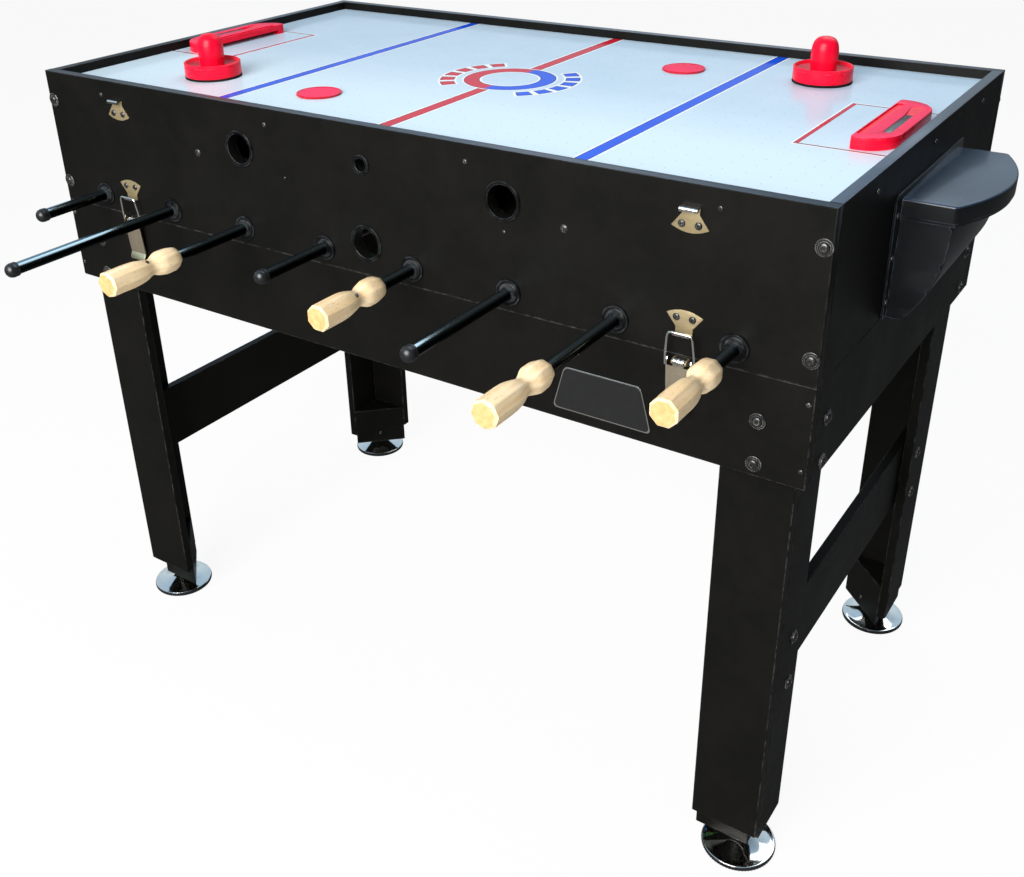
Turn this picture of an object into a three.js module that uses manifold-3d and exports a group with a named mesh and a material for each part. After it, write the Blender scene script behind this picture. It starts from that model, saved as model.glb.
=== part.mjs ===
// Multi game table: an air hockey top over an upturned table football box, latched onto a base
// with four legs. Millimetres, +Z up, -Y towards the front, +X to the right.
// The origin is on the floor, in the middle of the table.

import * as THREE from 'three';
import { mergeVertices } from 'three/addons/utils/BufferGeometryUtils.js';
import Module from 'manifold-3d';

const wasm = await Module();
wasm.setup();

// Driving dimensions of the table
const tableLength = 1219;
const tableWidth = 684;
const boardThickness = 15;
const boxHeight = 200;
const apronHeight = 128;
const partingHeight = 757;

// Fits shared by all parts
const clearance = 0.3;
const overrun = 2;
const bond = 0.5;

// Legs, foot blocks and stretchers
const legFrontWidth = 93;
const legSideDepth = 89;
const legTopDrop = 15;
const footBlockHeight = 80;
const sideBoardStep = 20;
const frontBoardStep = 35;
const stretcherHeight = 112;
const stretcherLift = 277;

// Levelling feet
const footHeight = 25;
const footInset = 34;
const padRadius = 51.5;
const padThickness = 7;
const coneLip = 1.5;
const neckRadius = 12;
const neckHeight = 5;
const stemRadius = 5;
const stemLength = 45;

// Playing boards
const rimHeight = 13;
const hockeyBoardThickness = 12;
const fieldHeight = 99;
const fieldThickness = 10;
const blowerRadius = 45;
const blowerHeight = 35;
const blowerSetback = 80;

// Rods
const rodRadius = 7.94;
const rodRise = 24;
const rodEndInset = 95;
const rodOverhang = 204.25;
const bearingFlangeRadius = 17.5;
const bearingFlangeThickness = 2.5;
const bearingBossRadius = 12;
const bearingBossLength = 7;

// Handles and end caps
const handleLength = 115;
const handleRadius = 17;
const handleWaistRadius = 11.3;
const handleSocketDepth = 95;
const capLength = 16;
const capRadius = 9.7;
const capSocketDepth = 10;

// Football players
const playerReach = 68;
const playerHeadReach = 33;
const playerHalfWidth = 13.5;
const playerHalfThickness = 11;
const bumperRadius = 12;
const bumperLength = 14;
const pairSpacing = 240;
const trioSpacing = 182;
const fiveSpacing = 113;

// Holes in the front panel, each with its lining ring
const ringWidth = 3.5;
const ringProud = 2.5;
const intakeRadius = 21.5;
const intakeSpread = 213.7;
const intakeRise = 138;
const serveRise = 44;
const inletRadius = 9.5;
const inletRise = 149;

// Draw latches, from the parting line and the outer face
const latchInset = 155.5;
const keeperThickness = 1.5;
const keeperHalfWidth = 22.2;
const keeperTopRise = 49;
const keeperCrown = 6;
const keeperNeckRise = 34;
const keeperNeckHalfWidth = 10.5;
const hookRise = 29.5;
const hookProud = 9.5;
const hookDrop = 5;
const latchPlateDrop = 2;
const latchPlateHeight = 36;
const pinDrop = 6;
const pinProud = 7.5;
const pinRadius = 2;
const barrelRadius = 5;
const barrelHalfLength = 7;
const cheekThickness = 1.8;
const cheekRadius = 3.5;
const leverHalfWidth = 15.5;
const leverThickness = 2;
const leverLength = 52;
const leverLean = 4;
const fingerLength = 10;
const fingerFlare = 5;
const bailWireRadius = 1.6;
const bailPlay = 0.7;
const bailPivotDrop = 6;
const bailHeight = 42.5;
const bailTopHalfWidth = 15;
const bailStraight = 15;
const bailCorner = 5.5;

// Football goals and ball returns
const goalWidth = 190;
const goalHeight = 67;
const returnWall = 3;
const flangeHeight = 154;
const flangeTopHalfWidth = 141;
const flangeBottomHalfWidth = 131;
const hoodHalfWidth = 117;
const hoodDepth = 61;
const hoodBulge = 17;
const trayHeight = 25;
const trayTop = 146;
const trayHalfWidth = 120;
const trayDepth = 97;

// Air hockey goals, pushers and pucks
const hockeyGoalGap = 8.5;
const hockeyGoalDepth = 49.5;
const hockeyGoalHalfWidth = 99;
const hockeyGoalHeight = 15;
const slotHalfWidth = 84;
const slotHeight = 6.5;
const slotBackWall = 20;
const channelSetback = 1.5;
const channelWidth = 9;
const channelHalfLength = 80;
const channelDepth = 2;
const windowHalfLength = 45.5;
const windowShift = 17;
const windowWidth = 11;
const windowSetback = 12.5;
const windowDepth = 3;
const scoopLength = 44;
const pusherRadius = 42;
const pusherRimHeight = 23;
const pusherHeight = 63;
const knobRadius = 18.9;
const puckRadius = 31.75;
const puckThickness = 3.2;
const puckEdge = 0.8;

// Counts
const roundSides = 20;
const smallSides = 12;
const wireSides = 6;
const handleSides = 8;
const curveSteps = 5;
const bailSteps = 18;
const hoodSteps = 8;

// Outlines as shares of the sizes that they follow; the goal's holds, after its first point, each
// curve's control point and end point
const footConeShares = [[1, 0], [0.8, 0.12], [0.5, 0.42], [0.25, 0.8], [0, 1]];
const handleProfileShares = [
  [0, 0], [0.03, 0.5], [0.09, 0.9], [0.15, 1], [0.24, 1], [0.3, 0.6], [0.36, 0.05], [0.41, 0.02],
  [0.47, 0.4], [0.54, 0.75], [0.64, 0.97], [0.74, 1], [0.978, 1], [1, 0.55],
];
const capProfileShares = [[0.4, 0.045], [0.7, 0.155], [0.9, 0.31], [1, 0.55], [1, 1]];
const playerProfileShares = [
  [-1, 1.1, 0.62], [-0.8, 1.1, 0.62], [-0.7, 0.55, 0.6], [-0.2, 1, 1],
  [0.4, 1, 1], [0.5, 0.5, 0.4], [0.62, 0.85, 0.58], [1, 0.7, 0.45],
];
const hoodProfileShares = [
  [0, 0.35, 0, 1.05], [0.09, 0.5, 0, 1.045], [0.26, 0.7, 0, 1.04], [0.42, 0.85, 0.05, 1.03],
  [0.6, 0.94, 0.4, 1.02], [0.8, 0.985, 0.72, 1.01], [1, 1, 1, 1],
];
const trayOutlineShares = { straight: 0.66, noseAcross: 0.5 };
const goalOutlineShares = [
  [1, 0.94], [1, 1], [0.86, 1], [0.52, 1], [0.3, 0.9], [0.04, 0.77], [0, 0.62],
];
const pusherDishShares = [[0.975, 1], [0.93, 1], [0.88, 0.8], [0.52, 0.66]];
const knobProfileShares = [
  [0.94, 0], [0.97, 0.15], [1, 0.35], [1, 0.55], [0.95, 0.72], [0.8, 0.87], [0.5, 0.965],
];

// Where each loose piece lies, as shares of the half length and half width of the playing surface
const pusherPlaceShares = [[-0.67, -0.62], [0.6638, 0.6239]];
const puckPlaceShares = [[-0.31, -0.636], [0.3248, 0.5373]];

// Each rod: its number of players, which side its handle is on, how far it is slid along as a
// share of its travel, + towards the back, and how far its grip is turned in degrees
const rodPlan = [
  { men: 1, handleAt: 'back', slideShare: 0.2202, gripTurn: 0 },
  { men: 2, handleAt: 'back', slideShare: -0.9734, gripTurn: 0 },
  { men: 3, handleAt: 'front', slideShare: 0.0892, gripTurn: 17.5 },
  { men: 5, handleAt: 'back', slideShare: 0.3313, gripTurn: 0 },
  { men: 5, handleAt: 'front', slideShare: 0.98, gripTurn: 0 },
  { men: 3, handleAt: 'back', slideShare: -0.445, gripTurn: 0 },
  { men: 2, handleAt: 'front', slideShare: -0.1092, gripTurn: -19.5 },
  { men: 1, handleAt: 'front', slideShare: 0.6189, gripTurn: 0 },
];
const playerSpacing = { 1: 0, 2: pairSpacing, 3: trioSpacing, 5: fiveSpacing };

// Sizes worked out from the driving dimensions
const halfLength = tableLength / 2;
const halfWidth = tableWidth / 2;
const innerHalfLength = halfLength - boardThickness;
const innerHalfWidth = halfWidth - boardThickness;
const surfaceTop = boxHeight - rimHeight;
const latchOffset = halfLength - latchInset;
const latchPlateHalfWidth = barrelHalfLength + clearance + cheekThickness;
const rodPitch = (tableLength - 2 * rodEndInset) / (rodPlan.length - 1);
const bearingFace = halfWidth + bearingBossLength;
const rodSetLength = tableWidth + 2 * rodOverhang;
const freeTravel = (rodSetLength - handleLength - capLength) / 2 - bearingFace;
const handleEnd = bearingFace + freeTravel + handleLength;
const capEnd = bearingFace + freeTravel + capLength;

// Surfaces
const finish = (color, roughness, metalness) =>
  () => new THREE.MeshStandardMaterial({ color, roughness, metalness });
const blackLaminate = finish(0x1d1d1b, 0.5, 0);
const chrome = finish(0xd8dadc, 0.12, 1);
const playingWhite = finish(0xe8ebee, 0.25, 0);
const pitchGreen = finish(0x2f7d3f, 0.6, 0);
const darkChrome = finish(0x2a2d31, 0.2, 0.8);
const beech = finish(0xd9b27c, 0.55, 0);
const blackRubber = finish(0x151515, 0.6, 0);
const satinBlackPlastic = finish(0x1c1d1f, 0.4, 0);
const redPlastic = finish(0xd8202c, 0.3, 0);
const nickel = finish(0xb8ab92, 0.3, 1);

// Solids
function solidOf(geometry) {
  const bare = geometry.clone();
  bare.deleteAttribute('normal');
  bare.deleteAttribute('uv');
  const merged = mergeVertices(bare);
  const corners = merged.index.array;
  const kept = [];
  for (let at = 0; at < corners.length; at += 3) {
    const [a, b, c] = [corners[at], corners[at + 1], corners[at + 2]];
    if (a !== b && b !== c && c !== a) {
      kept.push(a, b, c);
    }
  }
  const mesh = new wasm.Mesh({
    numProp: 3,
    vertProperties: merged.attributes.position.array,
    triVerts: new Uint32Array(kept),
  });
  return new wasm.Manifold(mesh);
}

function geometryOf(solid) {
  const mesh = solid.getMesh();
  const geometry = new THREE.BufferGeometry();
  geometry.setAttribute('position', new THREE.BufferAttribute(mesh.vertProperties, 3));
  geometry.setIndex(new THREE.BufferAttribute(mesh.triVerts, 1));
  geometry.computeVertexNormals();
  return geometry;
}

function join(first, ...others) {
  return others.reduce((whole, piece) => whole.add(piece), first);
}

function cut(first, ...others) {
  return others.reduce((whole, piece) => whole.subtract(piece), first);
}

function block([left, right], [front, back], [bottom, top]) {
  const geometry = new THREE.BoxGeometry(right - left, back - front, top - bottom);
  geometry.translate((left + right) / 2, (front + back) / 2, (bottom + top) / 2);
  return solidOf(geometry);
}

// A turned piece around Y, from [radius, place] points that run from low to high places
function turnedAlongY(points, sides) {
  const outline = points.map(([radius, place]) => new THREE.Vector2(radius, place));
  return new THREE.LatheGeometry(outline, sides);
}

function turnedAlongZ(points, sides) {
  const geometry = turnedAlongY(points, sides);
  geometry.rotateX(Math.PI / 2);
  return geometry;
}

function discAlongY(radius, from, to, sides) {
  return turnedAlongY([[0, from], [radius, from], [radius, to], [0, to]], sides);
}

function discAlongZ(radius, from, to, sides) {
  return turnedAlongZ([[0, from], [radius, from], [radius, to], [0, to]], sides);
}

function shapeOf(points) {
  return new THREE.Shape(points.map(([across, up]) => new THREE.Vector2(across, up)));
}

// An outline in X and Y, raised along Z
function raised(shape, from, to) {
  const geometry = new THREE.ExtrudeGeometry(shape, {
    depth: to - from,
    bevelEnabled: false,
    curveSegments: curveSteps,
  });
  geometry.translate(0, 0, from);
  return solidOf(geometry);
}

// An outline in Y and Z, drawn out along X
function drawnAlongX(points, from, to) {
  const geometry = new THREE.ExtrudeGeometry(shapeOf(points), {
    depth: to - from,
    bevelEnabled: false,
  });
  const turn = new THREE.Matrix4().makeBasis(
    new THREE.Vector3(0, 1, 0),
    new THREE.Vector3(0, 0, 1),
    new THREE.Vector3(1, 0, 0),
  );
  geometry.applyMatrix4(turn);
  geometry.translate(from, 0, 0);
  return solidOf(geometry);
}

// An outline in X and Z, drawn out along Y
function drawnAlongY(shape, from, to) {
  const geometry = new THREE.ExtrudeGeometry(shape, {
    depth: to - from,
    bevelEnabled: false,
    curveSegments: curveSteps,
  });
  geometry.rotateX(Math.PI / 2);
  geometry.translate(0, to, 0);
  return solidOf(geometry);
}

// A skin over rings of points that all have the same count, with flat ends
function skinOver(rings) {
  const count = rings[0].length;
  const last = (rings.length - 1) * count;
  const index = [];
  for (let level = 0; level + 1 < rings.length; level += 1) {
    for (let at = 0; at < count; at += 1) {
      const here = level * count + at;
      const beside = level * count + ((at + 1) % count);
      index.push(here, beside, beside + count);
      index.push(here, beside + count, here + count);
    }
  }
  for (let at = 1; at + 1 < count; at += 1) {
    index.push(0, at + 1, at);
    index.push(last, last + at, last + at + 1);
  }
  const geometry = new THREE.BufferGeometry();
  const places = new Float32Array(rings.flat(2));
  geometry.setAttribute('position', new THREE.BufferAttribute(places, 3));
  geometry.setIndex(index);
  return solidOf(geometry);
}

function inOrder(one, other) {
  return [Math.min(one, other), Math.max(one, other)];
}

function moved(solid, x, y, z) {
  return solid.translate([x, y, z]);
}

function addPart(parent, name, solid, material) {
  const mesh = new THREE.Mesh(geometryOf(solid), material());
  mesh.name = name;
  parent.add(mesh);
  return mesh;
}

function addGroup(parent, x, y, z, turned) {
  const group = new THREE.Group();
  group.position.set(x, y, z);
  group.rotation.z = turned ? Math.PI : 0;
  parent.add(group);
  return group;
}

// Base: each long board is made with its outer face at Y zero, facing +Y
function latchBase() {
  const plate = block(
    [-latchPlateHalfWidth, latchPlateHalfWidth],
    [-bond, keeperThickness],
    [-latchPlateDrop - latchPlateHeight, -latchPlateDrop],
  );
  const cheeks = [-1, 1].map((sign) => drawnAlongX([
    [0, -pinDrop - 2 * cheekRadius],
    [pinProud, -pinDrop - cheekRadius],
    [pinProud + cheekRadius, -pinDrop],
    [pinProud, -pinDrop + cheekRadius],
    [0, -pinDrop + cheekRadius],
  ], ...inOrder(sign * (latchPlateHalfWidth - cheekThickness), sign * latchPlateHalfWidth)));
  const pin = discAlongY(pinRadius, bond - latchPlateHalfWidth, latchPlateHalfWidth - bond, wireSides);
  pin.rotateZ(Math.PI / 2);
  pin.translate(0, pinProud, -pinDrop);
  return join(plate, ...cheeks, solidOf(pin));
}

function longApron() {
  const board = block([-halfLength, halfLength], [-boardThickness, 0], [-apronHeight, 0]);
  const bases = [-latchOffset, latchOffset].map((x) => moved(latchBase(), x, 0, 0));
  return join(board, ...bases);
}

function endApron() {
  return block([-boardThickness, 0], [-innerHalfWidth, innerHalfWidth], [-apronHeight, 0]);
}

// Leg: two boards in an L with a block in its foot; the outer corner is at X and Y zero, and the
// leg lies towards -X and +Y of it
function leg() {
  const top = partingHeight - legTopDrop;
  const frontBoard = block(
    [-legFrontWidth, 0],
    [0, boardThickness],
    [footHeight + frontBoardStep, top],
  );
  const sideBoard = block(
    [-boardThickness, 0],
    [boardThickness, legSideDepth],
    [footHeight + sideBoardStep, top],
  );
  const corner = shapeOf([
    [-legFrontWidth, boardThickness],
    [-boardThickness, boardThickness],
    [-boardThickness, legSideDepth],
  ]);
  const footBlock = raised(corner, footHeight, footHeight + footBlockHeight);
  const socket = discAlongZ(
    stemRadius + clearance,
    footHeight - overrun,
    footHeight + stemLength + clearance,
    smallSides,
  );
  socket.translate(-footInset, footInset, 0);
  return cut(join(frontBoard, sideBoard, footBlock), solidOf(socket));
}

function foot() {
  const coneHeight = footHeight - padThickness - neckHeight;
  const cone = footConeShares.map(([wide, up]) => [
    neckRadius + wide * (padRadius - coneLip - neckRadius),
    padThickness + up * coneHeight,
  ]);
  return solidOf(turnedAlongZ([
    [0, 0],
    [padRadius, 0],
    [padRadius, padThickness],
    ...cone,
    [neckRadius, footHeight - clearance],
    [stemRadius, footHeight - clearance],
    [stemRadius, footHeight + stemLength],
    [0, footHeight + stemLength],
  ], roundSides));
}

function stretcher() {
  return block(
    [-boardThickness, 0],
    [-innerHalfWidth + boardThickness, innerHalfWidth - boardThickness],
    [stretcherLift, stretcherLift + stretcherHeight],
  );
}

function buildBase(table) {
  const base = addGroup(table, 0, 0, 0, false);
  for (const front of [true, false]) {
    const side = front ? 'front' : 'back';
    const row = addGroup(base, 0, front ? -halfWidth : halfWidth, partingHeight, front);
    addPart(row, `${side}_apron`, longApron(), blackLaminate);
  }
  for (const right of [true, false]) {
    const end = right ? 'right' : 'left';
    const apronEnd = addGroup(base, right ? halfLength : -halfLength, 0, partingHeight, !right);
    addPart(apronEnd, `${end}_apron`, endApron(), blackLaminate);
    const stretcherFace = innerHalfLength - boardThickness;
    const stretcherEnd = addGroup(base, right ? stretcherFace : -stretcherFace, 0, 0, !right);
    addPart(stretcherEnd, `${end}_stretcher`, stretcher(), blackLaminate);
    for (const front of [true, false]) {
      const name = `${front ? 'front' : 'back'}_${end}`;
      const corner = addGroup(
        base,
        right ? innerHalfLength : -innerHalfLength,
        front ? -innerHalfWidth : innerHalfWidth,
        0,
        false,
      );
      const across = right ? 1 : -1;
      const along = front ? 1 : -1;
      const legSolid = leg().scale([across, along, 1]);
      addPart(corner, `${name}_leg`, legSolid, blackLaminate);
      const footMesh = addPart(corner, `${name}_foot`, foot(), chrome);
      footMesh.position.set(-across * footInset, along * footInset, 0);
    }
  }
}

// Game box panels
function keeper() {
  const hookBottom = hookRise - hookDrop;
  const outline = new THREE.Shape();
  outline.moveTo(-keeperNeckHalfWidth, hookBottom);
  outline.lineTo(keeperNeckHalfWidth, hookBottom);
  outline.lineTo(keeperNeckHalfWidth, keeperNeckRise);
  outline.lineTo(keeperHalfWidth, keeperTopRise);
  outline.quadraticCurveTo(0, keeperTopRise + 2 * keeperCrown, -keeperHalfWidth, keeperTopRise);
  outline.lineTo(-keeperNeckHalfWidth, keeperNeckRise);
  const plate = drawnAlongY(outline, -bond, keeperThickness);
  const hook = drawnAlongX([
    [0, hookBottom],
    [hookProud - keeperThickness, hookBottom],
    [hookProud, hookBottom + keeperThickness],
    [hookProud, hookRise],
    [hookProud - keeperThickness, hookRise],
    [hookProud - keeperThickness, hookBottom + keeperThickness],
    [0, hookBottom + keeperThickness],
  ], -keeperNeckHalfWidth, keeperNeckHalfWidth);
  return join(plate, hook);
}

// The same keeper, turned over for when the box stands the other way up
function upperKeeper() {
  return moved(keeper().mirror([0, 0, 1]), 0, 0, boxHeight);
}

function bearing() {
  return solidOf(turnedAlongY([
    [0, -bond],
    [bearingFlangeRadius, -bond],
    [bearingFlangeRadius, bearingFlangeThickness],
    [bearingBossRadius, bearingFlangeThickness],
    [bearingBossRadius, bearingBossLength],
    [0, bearingBossLength],
  ], smallSides));
}

function throughCut(radius, sides) {
  return solidOf(discAlongY(radius, -boardThickness - overrun, bearingBossLength + overrun, sides));
}

function ringAround(radius) {
  return solidOf(discAlongY(radius + ringWidth, -bond, ringProud, roundSides));
}

function rodPlaces() {
  return rodPlan.map((rod, at) => at * rodPitch - halfLength + rodEndInset);
}

function longPanel(isFront) {
  const board = block([-halfLength, halfLength], [-boardThickness, 0], [0, boxHeight]);
  const keepers = [-latchOffset, latchOffset].flatMap((x) => [
    moved(keeper(), x, 0, 0),
    moved(upperKeeper(), x, 0, 0),
  ]);
  const bearings = rodPlaces().map((x) => moved(bearing(), x, 0, rodRise));
  const bore = throughCut(rodRadius + clearance, smallSides);
  const bores = rodPlaces().map((x) => moved(bore, x, 0, rodRise));
  const holes = [[0, serveRise, intakeRadius]];
  if (isFront) {
    holes.push([-intakeSpread, intakeRise, intakeRadius]);
    holes.push([intakeSpread, intakeRise, intakeRadius]);
    holes.push([0, inletRise, inletRadius]);
  }
  const rings = holes.map(([x, rise, radius]) => moved(ringAround(radius), x, 0, rise));
  const openings = holes.map(([x, rise, radius]) => (
    moved(throughCut(radius, roundSides), x, 0, rise)
  ));
  return cut(join(board, ...keepers, ...bearings, ...rings), ...bores, ...openings);
}

function endPanel() {
  const board = block([-boardThickness, 0], [-innerHalfWidth, innerHalfWidth], [0, boxHeight]);
  const goalMouth = block(
    [-boardThickness - overrun, overrun],
    [-goalWidth / 2, goalWidth / 2],
    [fieldHeight - goalHeight, fieldHeight],
  );
  return cut(board, goalMouth);
}

function playingBoard(bottom, top) {
  const endGap = innerHalfLength - clearance;
  const sideGap = innerHalfWidth - clearance;
  return block([-endGap, endGap], [-sideGap, sideGap], [bottom, top]);
}

// The blowers are screwed up under the hockey board, behind the two intake holes
function hockeySurface() {
  const underside = surfaceTop - hockeyBoardThickness;
  const board = playingBoard(underside, surfaceTop);
  const blowers = [-intakeSpread, intakeSpread].map((x) => {
    const drum = discAlongZ(blowerRadius, underside - blowerHeight, underside + bond, roundSides);
    drum.translate(x, blowerSetback - innerHalfWidth, 0);
    return solidOf(drum);
  });
  return join(board, ...blowers);
}

// Ball return: made with the end panel's outer face at X zero, facing +X
function hoodRing(rise, sideDepth, bulge, half, back) {
  const front = [];
  for (let step = 0; step <= hoodSteps; step += 1) {
    const across = (2 * step) / hoodSteps - 1;
    front.push([sideDepth + bulge * (1 - across * across), across * half, rise]);
  }
  return [[back, -half, rise], ...front, [back, half, rise]];
}

function hood(wall, bottom) {
  const top = trayTop - trayHeight + wall;
  const back = wall > 0 ? returnWall : 0;
  const rings = hoodProfileShares.map(([up, depth, bulge, across]) => hoodRing(
    up === 0 ? bottom : up * top,
    depth * hoodDepth - wall,
    bulge * hoodBulge,
    across * hoodHalfWidth - wall,
    back,
  ));
  return skinOver(rings);
}

function trayOutline(wall) {
  const half = trayHalfWidth - wall;
  const depth = trayDepth - wall;
  const back = wall > 0 ? returnWall : 0;
  const { straight, noseAcross } = trayOutlineShares;
  const outline = new THREE.Shape();
  outline.moveTo(back, -half);
  outline.lineTo(straight * depth, -half);
  outline.quadraticCurveTo(depth, -noseAcross * half, depth, 0);
  outline.quadraticCurveTo(depth, noseAcross * half, straight * depth, half);
  outline.lineTo(back, half);
  return outline;
}

function ballReturn() {
  const flangeShape = shapeOf([
    [-flangeBottomHalfWidth, 0],
    [flangeBottomHalfWidth, 0],
    [flangeTopHalfWidth, flangeHeight],
    [-flangeTopHalfWidth, flangeHeight],
  ]);
  const flange = drawnAlongX(
    flangeShape.getPoints().map((point) => [point.x, point.y]),
    0,
    returnWall,
  );
  const trayBottom = trayTop - trayHeight;
  const tray = raised(trayOutline(0), trayBottom, trayTop);
  const shell = join(flange, hood(0, 0), tray);
  const trayHollow = raised(
    trayOutline(returnWall),
    trayBottom + returnWall,
    trayTop - returnWall,
  );
  const goalMouth = block(
    [-overrun, returnWall + overrun],
    [-goalWidth / 2, goalWidth / 2],
    [fieldHeight - goalHeight, fieldHeight],
  );
  return cut(shell, join(hood(returnWall, -overrun), trayHollow), goalMouth);
}

// Air hockey goal: stands on the surface with its back at X zero, facing -X. Its window lies
// nearer the -Y end, and a scoop rises from the window's other end.
function hockeyGoal() {
  const depth = hockeyGoalDepth;
  const points = goalOutlineShares.map(([out, across]) => (
    [-out * depth, -across * hockeyGoalHalfWidth]
  ));
  const route = [...points, ...points.map(([x, y]) => [x, -y]).reverse()];
  const outline = new THREE.Shape();
  outline.moveTo(...route[0]);
  for (let at = 1; at < points.length; at += 2) {
    outline.quadraticCurveTo(...route[at], ...route[at + 1]);
  }
  outline.lineTo(...route[points.length]);
  for (let at = points.length + 1; at < route.length; at += 2) {
    outline.quadraticCurveTo(...route[at], ...route[at + 1]);
  }
  const body = raised(outline, 0, hockeyGoalHeight);
  const slot = block(
    [-depth - overrun, -slotBackWall],
    [-slotHalfWidth, slotHalfWidth],
    [-overrun, slotHeight],
  );
  const above = hockeyGoalHeight + overrun;
  const channelFront = channelSetback - depth;
  const channel = block(
    [channelFront, channelFront + channelWidth],
    [-channelHalfLength, channelHalfLength],
    [hockeyGoalHeight - channelDepth, above],
  );
  const windowFloor = hockeyGoalHeight - windowDepth;
  const windowEnd = windowHalfLength - windowShift;
  const window = block(
    [-windowSetback - windowWidth, -windowSetback],
    [-windowShift - windowHalfLength, windowEnd],
    [windowFloor, above],
  );
  const scoop = drawnAlongX([
    [windowEnd - bond, windowFloor],
    [windowEnd, windowFloor],
    [windowEnd + scoopLength, hockeyGoalHeight],
    [windowEnd + scoopLength, above],
    [windowEnd - bond, above],
  ], -windowSetback - windowWidth, -windowSetback);
  return cut(body, slot, channel, window, scoop);
}

function pusher() {
  const dish = pusherDishShares.map(([wide, up]) => [wide * pusherRadius, up * pusherRimHeight]);
  const knobFoot = dish[dish.length - 1][1];
  const knob = knobProfileShares.map(([wide, up]) => [
    wide * knobRadius,
    knobFoot + up * (pusherHeight - knobFoot),
  ]);
  return solidOf(turnedAlongZ([
    [0, 0],
    [pusherRadius - puckEdge, 0],
    [pusherRadius, puckEdge],
    [pusherRadius, pusherRimHeight - puckEdge],
    ...dish,
    ...knob,
    [0, pusherHeight],
  ], roundSides));
}

function puck() {
  return solidOf(turnedAlongZ([
    [0, 0],
    [puckRadius - puckEdge, 0],
    [puckRadius, puckEdge],
    [puckRadius, puckThickness - puckEdge],
    [puckRadius - puckEdge, puckThickness],
    [0, puckThickness],
  ], roundSides));
}

function buildGameBox(table) {
  const box = addGroup(table, 0, 0, partingHeight, false);
  addPart(addGroup(box, 0, -halfWidth, 0, true), 'front_panel', longPanel(true), blackLaminate);
  addPart(addGroup(box, 0, halfWidth, 0, false), 'back_panel', longPanel(false), blackLaminate);
  addPart(box, 'hockey_surface', hockeySurface(), playingWhite);
  const fieldTop = fieldHeight + fieldThickness;
  addPart(box, 'football_field', playingBoard(fieldHeight, fieldTop), pitchGreen);
  for (const right of [true, false]) {
    const end = right ? 'right' : 'left';
    const outer = addGroup(box, right ? halfLength : -halfLength, 0, 0, !right);
    addPart(outer, `${end}_panel`, endPanel(), blackLaminate);
    addPart(outer, `${end}_ball_return`, ballReturn(), satinBlackPlastic);
    const goalBack = innerHalfLength - hockeyGoalGap;
    const goal = right ? hockeyGoal() : hockeyGoal().mirror([0, 1, 0]);
    const inner = addGroup(box, right ? goalBack : -goalBack, 0, surfaceTop, !right);
    addPart(inner, `${end}_hockey_goal`, goal, redPlastic);
    const at = right ? 1 : 0;
    const [pusherAlong, pusherAcross] = pusherPlaceShares[at];
    const pusherMesh = addPart(box, `${end}_pusher`, pusher(), redPlastic);
    pusherMesh.position.set(
      pusherAlong * innerHalfLength,
      pusherAcross * innerHalfWidth,
      surfaceTop,
    );
    const [puckAlong, puckAcross] = puckPlaceShares[at];
    const puckMesh = addPart(box, `${end}_puck`, puck(), redPlastic);
    puckMesh.position.set(puckAlong * innerHalfLength, puckAcross * innerHalfWidth, surfaceTop);
  }
}

// Rods: each lies along Y with its handle towards +Y, and its middle at zero
function travelOf(men) {
  const playersEnd = (men - 1) / 2 * playerSpacing[men] + playerHalfWidth + bumperLength;
  return Math.min(freeTravel, innerHalfWidth - playersEnd) - clearance;
}

function player() {
  const rings = playerProfileShares.map(([up, thick, wide]) => {
    const rise = up < 0 ? up * playerReach : up * playerHeadReach;
    const x = thick * playerHalfThickness;
    const y = wide * playerHalfWidth;
    return [[-x, -y, rise], [x, -y, rise], [x, y, rise], [-x, y, rise]];
  });
  return skinOver(rings);
}

function rod(men) {
  const capSeat = capEnd - capLength + capSocketDepth - clearance;
  const handleSeat = handleEnd - handleLength + handleSocketDepth - clearance;
  const bar = solidOf(discAlongY(rodRadius, -capSeat, handleSeat, smallSides));
  const firstPlayer = -(men - 1) / 2 * playerSpacing[men];
  const players = [];
  for (let at = 0; at < men; at += 1) {
    players.push(moved(player(), 0, firstPlayer + at * playerSpacing[men], 0));
  }
  const bumperStart = playerHalfWidth - firstPlayer;
  const bumpers = [-1, 1].map((sign) => {
    const [from, to] = inOrder(sign * bumperStart, sign * (bumperStart + bumperLength));
    return solidOf(discAlongY(bumperRadius, from, to, smallSides));
  });
  return join(bar, ...players, ...bumpers);
}

function handle(turn) {
  const profile = handleProfileShares.map(([along, wide]) => [
    handleWaistRadius + wide * (handleRadius - handleWaistRadius),
    along * handleLength,
  ]);
  const grip = turnedAlongY([[0, 0], ...profile, [0, handleLength]], handleSides);
  grip.rotateY(Math.PI / handleSides + THREE.MathUtils.degToRad(turn));
  const socket = discAlongY(rodRadius + clearance, -overrun, handleSocketDepth, smallSides);
  return cut(solidOf(grip), solidOf(socket));
}

function endCap() {
  const profile = capProfileShares.map(([wide, along]) => [wide * capRadius, along * capLength]);
  const cap = turnedAlongY([[0, 0], ...profile, [0, capLength]], smallSides);
  const socketFloor = capLength - capSocketDepth;
  const socket = discAlongY(rodRadius + clearance, socketFloor, capLength + overrun, smallSides);
  return cut(solidOf(cap), solidOf(socket));
}

function buildRods(table) {
  rodPlaces().forEach((x, at) => {
    const { men, handleAt, slideShare, gripTurn } = rodPlan[at];
    const slid = slideShare * travelOf(men);
    const line = addGroup(table, x, slid, partingHeight + rodRise, handleAt === 'front');
    addPart(line, `rod_${at + 1}`, rod(men), darkChrome);
    const handleMesh = addPart(line, `handle_${at + 1}`, handle(gripTurn), beech);
    handleMesh.position.y = handleEnd - handleLength;
    const capMesh = addPart(line, `end_cap_${at + 1}`, endCap(), blackRubber);
    capMesh.position.y = -capEnd;
  });
}

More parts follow.
